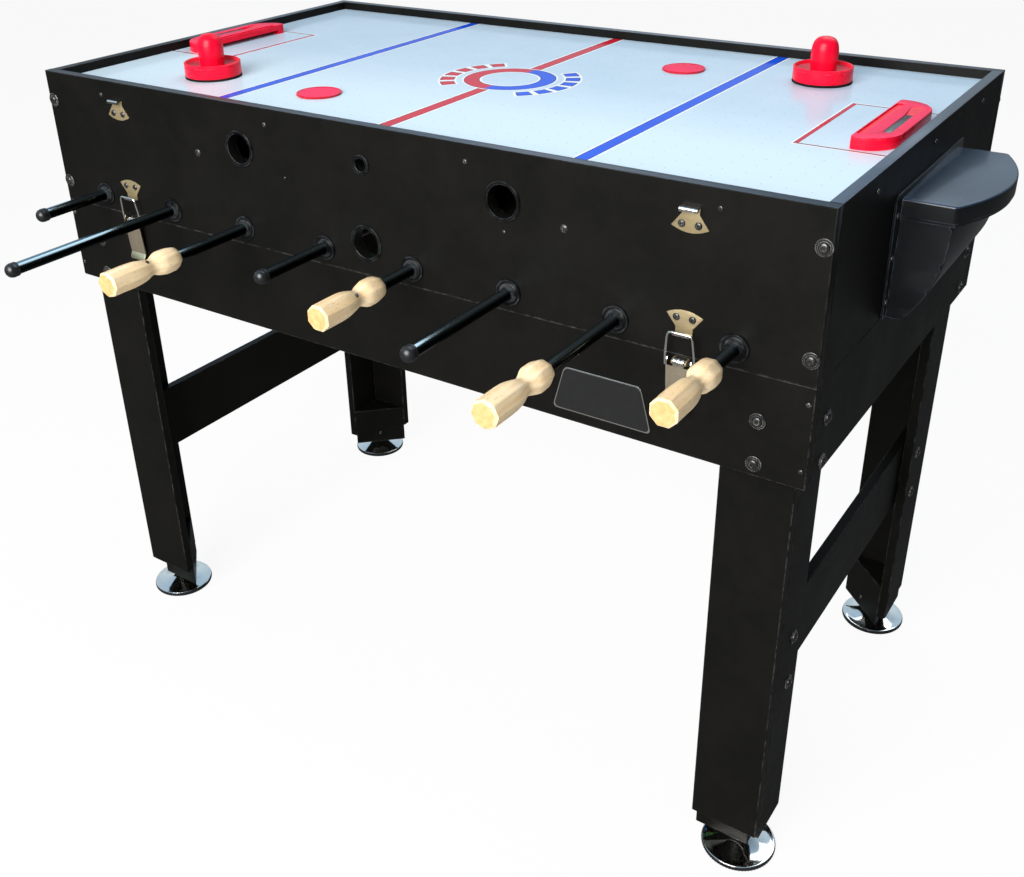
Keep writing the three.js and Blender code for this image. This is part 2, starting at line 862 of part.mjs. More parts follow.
// Draw latches: made with the outer face at Y zero, facing +Y, and the parting line at Z zero
function latchLever() {
  const innerFace = pinProud + leverThickness;
  const outerFace = innerFace + leverThickness;
  const stripTop = -pinDrop - barrelRadius;
  const stripBottom = -pinDrop - leverLength;
  const fingerBottom = stripBottom - fingerLength;
  const strip = drawnAlongX([
    [innerFace, stripTop],
    [innerFace - leverLean, stripBottom],
    [innerFace - leverLean + fingerFlare, fingerBottom],
    [outerFace - leverLean + fingerFlare, fingerBottom],
    [outerFace - leverLean, stripBottom],
    [outerFace, stripTop],
  ], -leverHalfWidth, leverHalfWidth);
  const [from, to] = [-barrelHalfLength, barrelHalfLength];
  const barrel = discAlongY(barrelRadius, from, to, smallSides);
  barrel.rotateZ(-Math.PI / 2);
  barrel.translate(0, pinProud, -pinDrop);
  const tab = block([from, to], [innerFace, outerFace], [stripTop - bond, -pinDrop]);
  const pinBore = discAlongY(pinRadius + clearance, from - overrun, to + overrun, smallSides);
  pinBore.rotateZ(-Math.PI / 2);
  pinBore.translate(0, pinProud, -pinDrop);
  return cut(join(strip, tab, solidOf(barrel)), solidOf(pinBore));
}

function latchBail() {
  const legOffset = leverHalfWidth + bailPlay + bailWireRadius;
  const foot = -pinDrop - bailPivotDrop;
  const lean = hookProud + clearance + bailWireRadius - pinProud;
  const place = (x, rise) => new THREE.Vector3(x, pinProud + lean * rise / bailHeight, foot + rise);
  const path = new THREE.CurvePath();
  const shoulder = bailHeight - bailCorner;
  const [a, b] = [place(legOffset, 0), place(legOffset, bailStraight)];
  const splay = (legOffset - bailTopHalfWidth) * bailCorner / (bailHeight - bailStraight);
  const c = place(bailTopHalfWidth + splay, shoulder);
  const d = place(bailTopHalfWidth - bailCorner, bailHeight);
  const mirrored = (point) => new THREE.Vector3(-point.x, point.y, point.z);
  const corner = place(bailTopHalfWidth, bailHeight);
  path.add(new THREE.LineCurve3(a, b));
  path.add(new THREE.LineCurve3(b, c));
  path.add(new THREE.QuadraticBezierCurve3(c, corner, d));
  path.add(new THREE.LineCurve3(d, mirrored(d)));
  path.add(new THREE.QuadraticBezierCurve3(mirrored(d), mirrored(corner), mirrored(c)));
  path.add(new THREE.LineCurve3(mirrored(c), mirrored(b)));
  path.add(new THREE.LineCurve3(mirrored(b), mirrored(a)));
  const section = [];
  for (let side = 0; side < wireSides; side += 1) {
    const angle = (2 * Math.PI * side) / wireSides;
    section.push([bailWireRadius * Math.cos(angle), bailWireRadius * Math.sin(angle)]);
  }
  return solidOf(new THREE.ExtrudeGeometry(shapeOf(section), { steps: bailSteps, extrudePath: path }));
}

function buildLatches(table) {
  for (const front of [true, false]) {
    for (const right of [true, false]) {
      const name = `${front ? 'front' : 'back'}_${right ? 'right' : 'left'}`;
      const x = right ? latchOffset : -latchOffset;
      const place = addGroup(table, x, front ? -halfWidth : halfWidth, partingHeight, front);
      addPart(place, `${name}_latch_lever`, latchLever(), nickel);
      addPart(place, `${name}_latch_bail`, latchBail(), chrome);
    }
  }
}

const table = new THREE.Group();
buildBase(table);
buildGameBox(table);
buildRods(table);
buildLatches(table);

export default table;
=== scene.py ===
# Looks of the multi game table: an air hockey top over an upturned table football box, on its base.
# Metres, +Z up, -Y towards the front, +X to the right; the origin is on the floor, in the middle.

import math

import bmesh
import bpy
from mathutils import Matrix, Vector


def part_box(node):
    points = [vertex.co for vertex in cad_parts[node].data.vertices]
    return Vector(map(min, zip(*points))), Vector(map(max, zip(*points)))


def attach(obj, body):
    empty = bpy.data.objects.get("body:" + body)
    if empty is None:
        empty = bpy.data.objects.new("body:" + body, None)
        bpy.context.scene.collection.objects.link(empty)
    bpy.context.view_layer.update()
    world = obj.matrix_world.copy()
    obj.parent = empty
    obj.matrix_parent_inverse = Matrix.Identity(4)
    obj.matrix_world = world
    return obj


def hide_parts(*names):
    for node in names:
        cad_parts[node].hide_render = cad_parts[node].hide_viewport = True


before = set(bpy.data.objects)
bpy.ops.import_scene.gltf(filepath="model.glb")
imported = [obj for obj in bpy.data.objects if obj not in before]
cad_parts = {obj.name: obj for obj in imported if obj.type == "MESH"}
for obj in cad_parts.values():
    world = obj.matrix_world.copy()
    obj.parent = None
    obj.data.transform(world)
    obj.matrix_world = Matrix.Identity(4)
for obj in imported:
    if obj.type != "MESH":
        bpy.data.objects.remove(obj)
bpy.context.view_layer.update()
scene = bpy.context.scene

MM = 0.001

# Driving dimensions, as in the part
TABLE_LENGTH = 1219 * MM
TABLE_WIDTH = 684 * MM
BOARD = 15 * MM
BOX_HEIGHT = 200 * MM
APRON_HEIGHT = 128 * MM
PARTING = 757 * MM
RIM = 13 * MM
CLEARANCE = 0.3 * MM
HALF_LENGTH = TABLE_LENGTH / 2
HALF_WIDTH = TABLE_WIDTH / 2
INNER_HALF_LENGTH = HALF_LENGTH - BOARD
INNER_HALF_WIDTH = HALF_WIDTH - BOARD
SURFACE_TOP = BOX_HEIGHT - RIM
EDGE_SOFTENING = 1.2 * MM

# Legs, stretchers and feet
LEG_FRONT_WIDTH = 93 * MM
LEG_SIDE_DEPTH = 89 * MM
LEG_TOP_DROP = 15 * MM
FOOT_BLOCK_HEIGHT = 80 * MM
SIDE_BOARD_STEP = 20 * MM
FRONT_BOARD_STEP = 35 * MM
STRETCHER_HEIGHT = 112 * MM
STRETCHER_LIFT = 277 * MM
FOOT_HEIGHT = 25 * MM
FOOT_INSET = 34 * MM
PAD_RADIUS = 51.5 * MM
PAD_THICKNESS = 7 * MM
PAD_RIBS = 72
RIB_DEPTH = 0.7 * MM
NECK_RADIUS = 12 * MM
NECK_HEIGHT = 5 * MM
STEM_RADIUS = 5 * MM
STEM_LENGTH = 45 * MM

# Playing boards
HOCKEY_BOARD = 12 * MM
FIELD_HEIGHT = 99 * MM
BLOWER_RADIUS = 45 * MM
BLOWER_HEIGHT = 35 * MM
BLOWER_SETBACK = 80 * MM

# Rods
ROD_COUNT = 8
ROD_RADIUS = 7.94 * MM
ROD_RISE = 24 * MM
ROD_END_INSET = 95 * MM
ROD_PITCH = (TABLE_LENGTH - 2 * ROD_END_INSET) / (ROD_COUNT - 1)
FLANGE_RADIUS = 17.5 * MM
FLANGE_THICKNESS = 2.5 * MM
BOSS_RADIUS = 12 * MM
BOSS_LENGTH = 7 * MM
BORE_RADIUS = 9.6 * MM
HANDLE_LENGTH = 115 * MM
HANDLE_RADIUS = 17 * MM
HANDLE_WAIST = 11.3 * MM
HANDLE_SOCKET = 95 * MM
HANDLE_SCREW_PLACE = 52.5 * MM
HANDLE_SCREW_REACH = 12 * MM
HANDLE_SIDES = 8
CAP_LENGTH = 16 * MM
CAP_RADIUS = 9.7 * MM
CAP_SOCKET = 10 * MM
MEN_OF_RODS = (1, 2, 3, 5, 5, 3, 2, 1)
SCREW_ANGLE_OF_RODS = (90, 90, 62.5, 90, 45, 90, 205.5, 225)
SPACING_OF_MEN = {1: 0, 2: 240 * MM, 3: 182 * MM, 5: 113 * MM}
MAN_REACH = 68 * MM
MAN_HEAD_REACH = 33 * MM
MAN_HALF_WIDTH = 13.5 * MM
MAN_HALF_THICKNESS = 11 * MM
BUMPER_RADIUS = 12 * MM
BUMPER_LENGTH = 14 * MM

# Round holes in the long panels, each with a lining ring
RING_WIDTH = 3.5 * MM
RING_PROUD = 2.5 * MM
INTAKE_RADIUS = 21.5 * MM
INTAKE_SPREAD = 213.7 * MM
INTAKE_RISE = 138 * MM
SERVE_RISE = 44 * MM
INLET_RADIUS = 9.5 * MM
INLET_RISE = 149 * MM

# Draw latches, from the parting line and the outer face
LATCH_OFFSET = HALF_LENGTH - 155.5 * MM
KEEPER_THICKNESS = 1.5 * MM
KEEPER_HALF_WIDTH = 22.2 * MM
KEEPER_TOP = 49 * MM
KEEPER_CROWN = 6 * MM
KEEPER_NECK = 34 * MM
KEEPER_NECK_HALF = 10.5 * MM
HOOK_RISE = 29.5 * MM
HOOK_PROUD = 9.5 * MM
HOOK_DROP = 5 * MM
KEEPER_SCREW_RISE = 45.5 * MM
KEEPER_SCREW_SPREAD = 9.8 * MM
LATCH_PLATE_DROP = 2 * MM
LATCH_PLATE_HEIGHT = 36 * MM
PIN_DROP = 6 * MM
PIN_PROUD = 7.5 * MM
PIN_RADIUS = 2 * MM
BARREL_RADIUS = 5 * MM
BARREL_HALF = 7 * MM
CHEEK_THICKNESS = 1.8 * MM
CHEEK_RADIUS = 3.5 * MM
LATCH_PLATE_HALF = BARREL_HALF + CLEARANCE + CHEEK_THICKNESS
LEVER_HALF = 15.5 * MM
LEVER_THICKNESS = 2 * MM
LEVER_LENGTH = 52 * MM
LEVER_LEAN = 4 * MM
FINGER_LENGTH = 10 * MM
FINGER_FLARE = 5 * MM
BAIL_WIRE = 1.6 * MM
BAIL_PLAY = 0.7 * MM
BAIL_PIVOT_DROP = 6 * MM
BAIL_HEIGHT = 42.5 * MM
BAIL_TOP_HALF = 15 * MM
BAIL_STRAIGHT = 15 * MM
BAIL_CORNER = 5.5 * MM

# Ball returns
RETURN_WALL = 3 * MM
GOAL_HALF_WIDTH = 95 * MM
GOAL_HEIGHT = 67 * MM
RETURN_FLANGE_HEIGHT = 154 * MM
RETURN_FLANGE_TOP = 141 * MM
RETURN_FLANGE_BOTTOM = 131 * MM
HOOD_HALF_WIDTH = 117 * MM
HOOD_DEPTH = 61 * MM
HOOD_BULGE = 17 * MM
TRAY_HEIGHT = 25 * MM
TRAY_TOP = 146 * MM
TRAY_HALF_WIDTH = 120 * MM
TRAY_DEPTH = 97 * MM
TRAY_ROUNDING = 3 * MM
TRAY_CORNER = 4 * MM
TRAY_STEP = 1.6 * MM

# Air hockey goals, pushers and pucks
HOCKEY_GOAL_GAP = 8.5 * MM
HOCKEY_GOAL_DEPTH = 49.5 * MM
HOCKEY_GOAL_HALF = 99 * MM
HOCKEY_GOAL_HEIGHT = 15 * MM
SLOT_HALF = 84 * MM
SLOT_HEIGHT = 6.5 * MM
SLOT_BACK_WALL = 20 * MM
CHANNEL_SETBACK = 1.5 * MM
CHANNEL_WIDTH = 9 * MM
CHANNEL_HALF = 80 * MM
CHANNEL_DEPTH = 2 * MM
WINDOW_HALF = 45.5 * MM
WINDOW_SHIFT = 17 * MM
WINDOW_WIDTH = 11 * MM
WINDOW_SETBACK = 12.5 * MM
WINDOW_DEPTH = 3 * MM
SCOOP_LENGTH = 44 * MM
SCOOP_FLARE = 4 * MM
PUSHER_RADIUS = 42 * MM
PUSHER_RIM = 23 * MM
PUSHER_HEIGHT = 63 * MM
KNOB_RADIUS = 18.9 * MM
FELT_THICKNESS = 2.8 * MM
PUCK_RADIUS = 31.75 * MM
PUCK_THICKNESS = 3.2 * MM

# Counts of steps
ROUND_STEPS = 64
SMALL_STEPS = 32

# Camera, fitted to sixty points in the photograph
CAMERA_PLACE = Vector((0.942488, -1.420135, 1.337689))
CAMERA_TURN = 0.597495
CAMERA_DIP = 0.480810
CAMERA_ROLL = -0.019989
CAMERA_LENS = 40.844
CAMERA_SHIFT_X = 0.00925
CAMERA_SHIFT_Y = -0.0567


# Mesh helpers


def block(low, high):
    """A closed block between two corners."""
    form = bmesh.new()
    low, high = Vector(low), Vector(high)
    bmesh.ops.create_cube(form, size=1)
    bmesh.ops.scale(form, vec=high - low, verts=form.verts)
    bmesh.ops.translate(form, vec=(low + high) / 2, verts=form.verts)
    return form


def turned(outline, steps=ROUND_STEPS):
    """A form turned about Z from (radius, height) points."""
    form = bmesh.new()
    points = [form.verts.new((radius, 0, height)) for radius, height in outline]
    lines = [form.edges.new(pair) for pair in zip(points, points[1:])]
    bmesh.ops.spin(
        form,
        geom=points + lines,
        cent=(0, 0, 0),
        axis=(0, 0, 1),
        angle=2 * math.pi,
        steps=steps,
        use_merge=True,
    )
    bmesh.ops.remove_doubles(form, verts=form.verts, dist=0.001 * MM)
    bmesh.ops.recalc_face_normals(form, faces=form.faces)
    return form


def plate(loop, thickness):
    """A flat form from a closed loop in X and Y, raised along Z."""
    form = bmesh.new()
    face = form.faces.new([form.verts.new((across, up, 0)) for across, up in loop])
    raised = bmesh.ops.extrude_face_region(form, geom=[face])
    tops = [part for part in raised["geom"] if isinstance(part, bmesh.types.BMVert)]
    bmesh.ops.translate(form, vec=(0, 0, thickness), verts=tops)
    bmesh.ops.recalc_face_normals(form, faces=form.faces)
    return form


def form_of_curve(curve):
    """A form from a curve's mesh; the curve itself is removed."""
    holder = bpy.data.objects.new(curve.name, curve)
    scene.collection.objects.link(holder)
    bpy.context.view_layer.update()
    seen = holder.evaluated_get(bpy.context.evaluated_depsgraph_get())
    mesh = bpy.data.meshes.new_from_object(seen)
    form = bmesh.new()
    form.from_mesh(mesh)
    bpy.data.objects.remove(holder)
    bpy.data.curves.remove(curve)
    bpy.data.meshes.remove(mesh)
    return form


def pierced_plate(outer, holes, thickness, edge):
    """A flat form with holes, raised along Z, with its edges softened."""
    curve = bpy.data.curves.new("sheet", "CURVE")
    curve.dimensions = "2D"
    curve.fill_mode = "BOTH"
    for loop in [outer, *holes]:
        spline = curve.splines.new("POLY")
        spline.points.add(len(loop) - 1)
        for point, (across, up) in zip(spline.points, loop):
            point.co = (across, up, 0, 1)
        spline.use_cyclic_u = True
    curve.extrude = thickness / 2 - edge
    curve.bevel_depth = edge
    curve.bevel_resolution = 1
    form = form_of_curve(curve)
    bmesh.ops.remove_doubles(form, verts=form.verts, dist=0.001 * MM)
    bmesh.ops.translate(form, vec=(0, 0, thickness / 2), verts=form.verts)
    bmesh.ops.recalc_face_normals(form, faces=form.faces)
    return form


def rectangle(low, high, inset=0):
    """A loop of four points; a hole is given a negative inset."""
    left, bottom = low[0] + inset, low[1] + inset
    right, top = high[0] - inset, high[1] - inset
    return [(left, bottom), (right, bottom), (right, top), (left, top)]


def circle(across, up, radius, steps=ROUND_STEPS):
    turn = 2 * math.pi / steps
    return [
        (across + radius * math.cos(at * turn), up + radius * math.sin(at * turn))
        for at in range(steps)
    ]


def rounded_rectangle(low, high, radius, steps=6):
    """A loop with round corners."""
    loop = []
    corners = (
        (high[0] - radius, high[1] - radius, 0),
        (low[0] + radius, high[1] - radius, 1),
        (low[0] + radius, low[1] + radius, 2),
        (high[0] - radius, low[1] + radius, 3),
    )
    for across, up, quarter in corners:
        for step in range(steps + 1):
            angle = (quarter + step / steps) * math.pi / 2
            loop.append((across + radius * math.cos(angle), up + radius * math.sin(angle)))
    return loop


def eased(points, steps=4):
    """More points on a smooth line through the given ones."""
    line = []
    ends = [points[0], *points, points[-1]]
    for before, start, end, after in zip(ends, ends[1:], ends[2:], ends[3:]):
        for step in range(steps):
            t = step / steps
            line.append(tuple(
                0.5 * (
                    2 * b + (c - a) * t + (2 * a - 5 * b + 4 * c - d) * t * t
                    + (3 * b - a - 3 * c + d) * t ** 3
                )
                for a, b, c, d in zip(before, start, end, after)
            ))
    line.append(tuple(points[-1]))
    return line


def curved(start, pull, end, steps=8):
    """Points on a bend from start towards end, without the end itself."""
    line = []
    for step in range(steps):
        t = step / steps
        line.append(tuple(
            (1 - t) ** 2 * a + 2 * t * (1 - t) * b + t * t * c
            for a, b, c in zip(start, pull, end)
        ))
    return line


def softened(form, width, segments=1, least=30):
    """Bevels every edge whose faces meet at more than the least angle."""
    edges = [
        edge for edge in form.edges
        if len(edge.link_faces) == 2 and edge.calc_face_angle(0) > math.radians(least)
    ]
    bevel_edges(form, edges, width, segments)
    return form


def bevel_edges(form, edges, width, segments):
    bmesh.ops.bevel(
        form,
        geom=edges,
        offset=width,
        segments=segments,
        profile=0.5,
        affect="EDGES",
        material=-1,
        clamp_overlap=True,
    )


def placed(form, *matrices):
    """Applies the matrices in turn, the last one first."""
    place = Matrix.Identity(4)
    for matrix in matrices:
        place = place @ matrix
    bmesh.ops.transform(form, matrix=place, verts=form.verts)
    return form


def at(x, y, z):
    return Matrix.Translation((x, y, z))


def turn_about(axis, degrees):
    return Matrix.Rotation(math.radians(degrees), 4, axis)


UPRIGHT = Matrix(((1, 0, 0, 0), (0, 0, 1, 0), (0, 1, 0, 0), (0, 0, 0, 1)))
ENDWISE = Matrix(((0, 0, 1, 0), (1, 0, 0, 0), (0, 1, 0, 0), (0, 0, 0, 1)))
ALONG_Y = turn_about("X", -90)
ALONG_X = turn_about("Y", 90)


def merged(*forms):
    """One form that holds all the given ones."""
    whole = bmesh.new()
    spare = bpy.data.meshes.new("spare")
    for form in forms:
        form.to_mesh(spare)
        whole.from_mesh(spare)
        form.free()
    bpy.data.meshes.remove(spare)
    return whole


def repeated(form, places):
    """One form with a copy of the given one at every place."""
    copies = [placed(form.copy(), place) for place in places]
    form.free()
    return merged(*copies)


def coated(form, index, test=None):
    """Gives the faces that pass the test another of the piece's finishes."""
    for face in form.faces:
        if test is None or test(face):
            face.material_index = index
    return form


def piece(name, form, body, finishes, replaces=(), smooth=0):
    """Makes the finished piece and lets it ride on its body."""
    bmesh.ops.remove_doubles(form, verts=form.verts, dist=0.0005 * MM)
    bmesh.ops.recalc_face_normals(form, faces=form.faces)
    mesh = bpy.data.meshes.new(name)
    form.to_mesh(mesh)
    form.free()
    for finish in finishes:
        mesh.materials.append(finish)
    if smooth:
        mesh.shade_smooth()
        mesh.set_sharp_from_angle(angle=math.radians(smooth))
    made = bpy.data.objects.new(name, mesh)
    scene.collection.objects.link(made)
    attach(made, body)
    if replaces:
        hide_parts(*replaces)
    return made


# Material helpers


def tint(code):
    """A colour as written, in linear values."""
    parts = [int(code[place:place + 2], 16) / 255 for place in (1, 3, 5)]
    linear = [p / 12.92 if p <= 0.04045 else ((p + 0.055) / 1.055) ** 2.4 for p in parts]
    return (*linear, 1)


def node(tree, kind, values=None, **settings):
    """Adds a node; values are constants or the sockets that feed it."""
    made = tree.nodes.new(kind)
    for key, value in settings.items():
        setattr(made, key, value)
    for key, value in (values or {}).items():
        socket = made.inputs[key]
        if isinstance(value, bpy.types.NodeSocket):
            tree.links.new(value, socket)
        else:
            socket.default_value = value
    return made


def maths(tree, operation, first, second=0.0, third=0.0):
    made = node(tree, "ShaderNodeMath", {0: first, 1: second, 2: third}, operation=operation)
    return made.outputs[0]


def blended(tree, factor, low, high):
    """A colour between two."""
    made = node(tree, "ShaderNodeMix", {0: factor, 6: low, 7: high}, data_type="RGBA")
    return made.outputs[2]


def ranged(tree, value, low, high, to_low=0.0, to_high=1.0):
    made = node(
        tree,
        "ShaderNodeMapRange",
        {"Value": value, "From Min": low, "From Max": high, "To Min": to_low, "To Max": to_high},
    )
    return made.outputs["Result"]


def noise(tree, vector, scale, detail=4.0, roughness=0.6):
    made = node(
        tree,
        "ShaderNodeTexNoise",
        {"Vector": vector, "Scale": scale, "Detail": detail, "Roughness": roughness},
    )
    return made.outputs["Fac"]


def distance_to_middle(tree, x, y):
    squares = [maths(tree, "MULTIPLY", axis, axis) for axis in (x, y)]
    return maths(tree, "SQRT", maths(tree, "ADD", *squares))


def new_group(name, inputs, outputs):
    group = bpy.data.node_groups.new(name, "ShaderNodeTree")
    for label, kind, value in inputs:
        socket = group.interface.new_socket(label, in_out="INPUT", socket_type=kind)
        socket.default_value = value
    for label, kind in outputs:
        group.interface.new_socket(label, in_out="OUTPUT", socket_type=kind)
    start = group.nodes.new("NodeGroupInput")
    end = group.nodes.new("NodeGroupOutput")
    return group, start.outputs, end.inputs


FLOAT = "NodeSocketFloat"
VECTOR = "NodeSocketVector"


def edge_scuff_and_highlight_group():
    """A mask for the edges, which are lightened partly as scuffs and partly as a painted edge
    highlight.
    """
    group, given, out = new_group(
        "edge_scuff_and_highlight",
        [("Vector", VECTOR, (0, 0, 0)), ("Width", FLOAT, 1 * MM), ("Breakup", FLOAT, 60.0)],
        [("Mask", FLOAT)],
    )
    rounded = node(group, "ShaderNodeBevel", {"Radius": given["Width"]}, samples=4)
    flat = node(group, "ShaderNodeNewGeometry")
    match = node(
        group,
        "ShaderNodeVectorMath",
        {0: rounded.outputs["Normal"], 1: flat.outputs["Normal"]},
        operation="DOT_PRODUCT",
    )
    near = ranged(group, match.outputs["Value"], 0.998, 0.93)
    patchy = ranged(group, noise(group, given["Vector"], given["Breakup"]), 0.42, 0.62)
    group.links.new(maths(group, "MULTIPLY", near, patchy), out["Mask"])
    return group


def mottle_group():
    """Soft clouds with finer ones inside them."""
    group, given, out = new_group(
        "mottle",
        [("Vector", VECTOR, (0, 0, 0)), ("Scale", FLOAT, 10.0), ("Spread", FLOAT, 0.2)],
        [("Mask", FLOAT)],
    )
    wide = noise(group, given["Vector"], given["Scale"])
    fine_scale = maths(group, "MULTIPLY", given["Scale"], 9.0)
    fine = noise(group, given["Vector"], fine_scale, 2.0)
    both = maths(group, "MULTIPLY_ADD", fine, 0.3, maths(group, "MULTIPLY", wide, 0.7))
    low = maths(group, "SUBTRACT", 0.5, given["Spread"])
    high = maths(group, "ADD", 0.5, given["Spread"])
    group.links.new(ranged(group, both, low, high), out["Mask"])
    return group


def streaks_group():
    """Fine lines drawn out along one direction."""
    group, given, out = new_group(
        "streaks",
        [("Vector", VECTOR, (0, 0, 0)), ("Stretch", VECTOR, (1, 1, 1)), ("Spread", FLOAT, 0.2)],
        [("Mask", FLOAT)],
    )
    drawn = node(
        group,
        "ShaderNodeVectorMath",
        {0: given["Vector"], 1: given["Stretch"]},
        operation="MULTIPLY",
    )
    lines = noise(group, drawn.outputs["Vector"], 1.0, 5.0, 0.7)
    low = maths(group, "SUBTRACT", 0.5, given["Spread"])
    high = maths(group, "ADD", 0.5, given["Spread"])
    group.links.new(ranged(group, lines, low, high), out["Mask"])
    return group


def stripe_group():
    """One where a value lies within half a width of a centre."""
    group, given, out = new_group(
        "stripe",
        [("Value", FLOAT, 0.0), ("Centre", FLOAT, 0.0), ("Half Width", FLOAT, 1 * MM)],
        [("Mask", FLOAT)],
    )
    away = maths(group, "ABSOLUTE", maths(group, "SUBTRACT", given["Value"], given["Centre"]))
    inside = maths(group, "SUBTRACT", given["Half Width"], away)
    group.links.new(ranged(group, inside, -0.15 * MM, 0.15 * MM), out["Mask"])
    return group


EDGE_SCUFF_AND_HIGHLIGHT = edge_scuff_and_highlight_group()
MOTTLE = mottle_group()
STREAKS = streaks_group()
STRIPE = stripe_group()


def effect(tree, group, values):
    return node(tree, "ShaderNodeGroup", values, node_tree=group).outputs["Mask"]


def new_finish(name):
    """A material with its shader and Object coordinates."""
    finish = bpy.data.materials.new(name)
    finish.use_nodes = True
    tree = finish.node_tree
    shader = tree.nodes["Principled BSDF"]
    vector = node(tree, "ShaderNodeTexCoord").outputs["Object"]
    return finish, tree, shader, vector


def feed(tree, shader, name, source):
    tree.links.new(source, shader.inputs[name])


def relief(tree, shader, height, strength, distance):
    made = node(
        tree,
        "ShaderNodeBump",
        {"Height": height, "Strength": strength, "Distance": distance},
    )
    feed(tree, shader, "Normal", made.outputs["Normal"])


def moulded(name, low, high, scuffed_and_lit_edge, rough, grain, coat=0.0, specular=0.5, scuff_and_highlight_share=0.5):
    """Painted, laminated or moulded surfaces: clouds of two colours, edges lightened partly as scuffs
    and partly as a painted edge highlight, fine relief.
    """
    finish, tree, shader, vector = new_finish(name)
    clouds = effect(tree, MOTTLE, {"Vector": vector, "Scale": grain, "Spread": 0.16})
    base = blended(tree, clouds, tint(low), tint(high))
    # Lighter edges: partly scuffs, partly a painted edge highlight.
    scuff_and_highlight_mask = effect(tree, EDGE_SCUFF_AND_HIGHLIGHT, {"Vector": vector, "Width": 1.2 * MM, "Breakup": 70.0})
    scuff_and_highlight_mask = maths(tree, "MULTIPLY", scuff_and_highlight_mask, scuff_and_highlight_share)
    feed(tree, shader, "Base Color", blended(tree, scuff_and_highlight_mask, base, tint(scuffed_and_lit_edge)))
    feed(tree, shader, "Roughness", ranged(tree, clouds, 0.0, 1.0, rough - 0.05, rough + 0.05))
    relief(tree, shader, noise(tree, vector, 900.0, 2.0), 0.12, 0.15 * MM)
    shader.inputs["Coat Weight"].default_value = coat
    shader.inputs["Coat Roughness"].default_value = 0.12
    shader.inputs["Specular IOR Level"].default_value = specular
    return finish


def metal(name, low, high, rough, stretch, spread=0.2, metallic=1.0):
    """Plated and turned metal with fine brushed lines."""
    finish, tree, shader, vector = new_finish(name)
    lines = effect(tree, STREAKS, {"Vector": vector, "Stretch": stretch, "Spread": spread})
    smudges = effect(tree, MOTTLE, {"Vector": vector, "Scale": 35.0, "Spread": 0.2})
    colour = blended(tree, lines, tint(low), tint(high))
    feed(tree, shader, "Base Color", blended(tree, smudges, colour, tint(high)))
    feed(tree, shader, "Roughness", ranged(tree, smudges, 0.0, 1.0, rough, rough + 0.08))
    relief(tree, shader, lines, 0.06, 0.1 * MM)
    shader.inputs["Metallic"].default_value = metallic
    return finish


def dark_chrome():
    """Black chrome with a painted sky reflection: its base colour is painted bright where it faces up.
    """
    finish, tree, shader, vector = new_finish("dark_chrome_rod")
    normal = node(tree, "ShaderNodeNewGeometry").outputs["Normal"]
    facing_up = node(tree, "ShaderNodeSeparateXYZ", {0: normal})
    stretch = (900.0, 12.0, 900.0)
    lines = effect(tree, STREAKS, {"Vector": vector, "Stretch": stretch, "Spread": 0.25})
    # Painted sky reflection: the upper side's base colour is painted bright and the lower side dark.
    painted_sky_highlight = ranged(tree, facing_up.outputs[2], 0.3, 0.85)
    dark = blended(tree, lines, tint("#14171a"), tint("#1f2427"))
    bright = blended(tree, lines, tint("#7d9096"), tint("#9fb2b8"))
    feed(tree, shader, "Base Color", blended(tree, painted_sky_highlight, dark, bright))
    feed(tree, shader, "Roughness", ranged(tree, lines, 0.0, 1.0, 0.12, 0.2))
    relief(tree, shader, lines, 0.05, 0.1 * MM)
    shader.inputs["Metallic"].default_value = 1.0
    return finish


def edge_band_with_painted_sky(name, stretch):
    """The band on the rim's top edges: dark grey with a painted sky reflection, darker to the left,
    blue-grey to the right and paler at the back, with a light outline that is partly scuffs and partly
    a painted edge highlight.
    """
    finish, tree, shader, vector = new_finish(name)
    axes = node(tree, "ShaderNodeSeparateXYZ", {0: vector})
    lines = effect(tree, STREAKS, {"Vector": vector, "Stretch": stretch, "Spread": 0.24})
    clouds = effect(tree, MOTTLE, {"Vector": vector, "Scale": 4.0, "Spread": 0.2})
    base = blended(tree, lines, tint("#252625"), tint("#2f3231"))
    # Painted sky reflection: bluer towards the right and paler at the back.
    sky_reflection_right = blended(tree, lines, tint("#38444f"), tint("#4b5868"))
    sky_reflection_back = blended(tree, lines, tint("#565f68"), tint("#666f78"))
    base = blended(tree, ranged(tree, axes.outputs[0], -0.45, 0.5), base, sky_reflection_right)
    base = blended(tree, ranged(tree, axes.outputs[1], -0.1, 0.2), base, sky_reflection_back)
    base = blended(tree, maths(tree, "MULTIPLY", clouds, 0.2), base, tint("#5e6b7b"))
    # Light outline: partly scuffs, partly a painted edge highlight.
    scuff_and_highlight_mask = effect(tree, EDGE_SCUFF_AND_HIGHLIGHT, {"Vector": vector, "Width": 1.0 * MM, "Breakup": 40.0})
    feed(tree, shader, "Base Color", blended(tree, scuff_and_highlight_mask, base, tint("#9fb0c4")))
    feed(tree, shader, "Roughness", ranged(tree, lines, 0.0, 1.0, 0.32, 0.46))
    relief(tree, shader, lines, 0.15, 0.1 * MM)
    shader.inputs["Specular IOR Level"].default_value = 0.3
    return finish


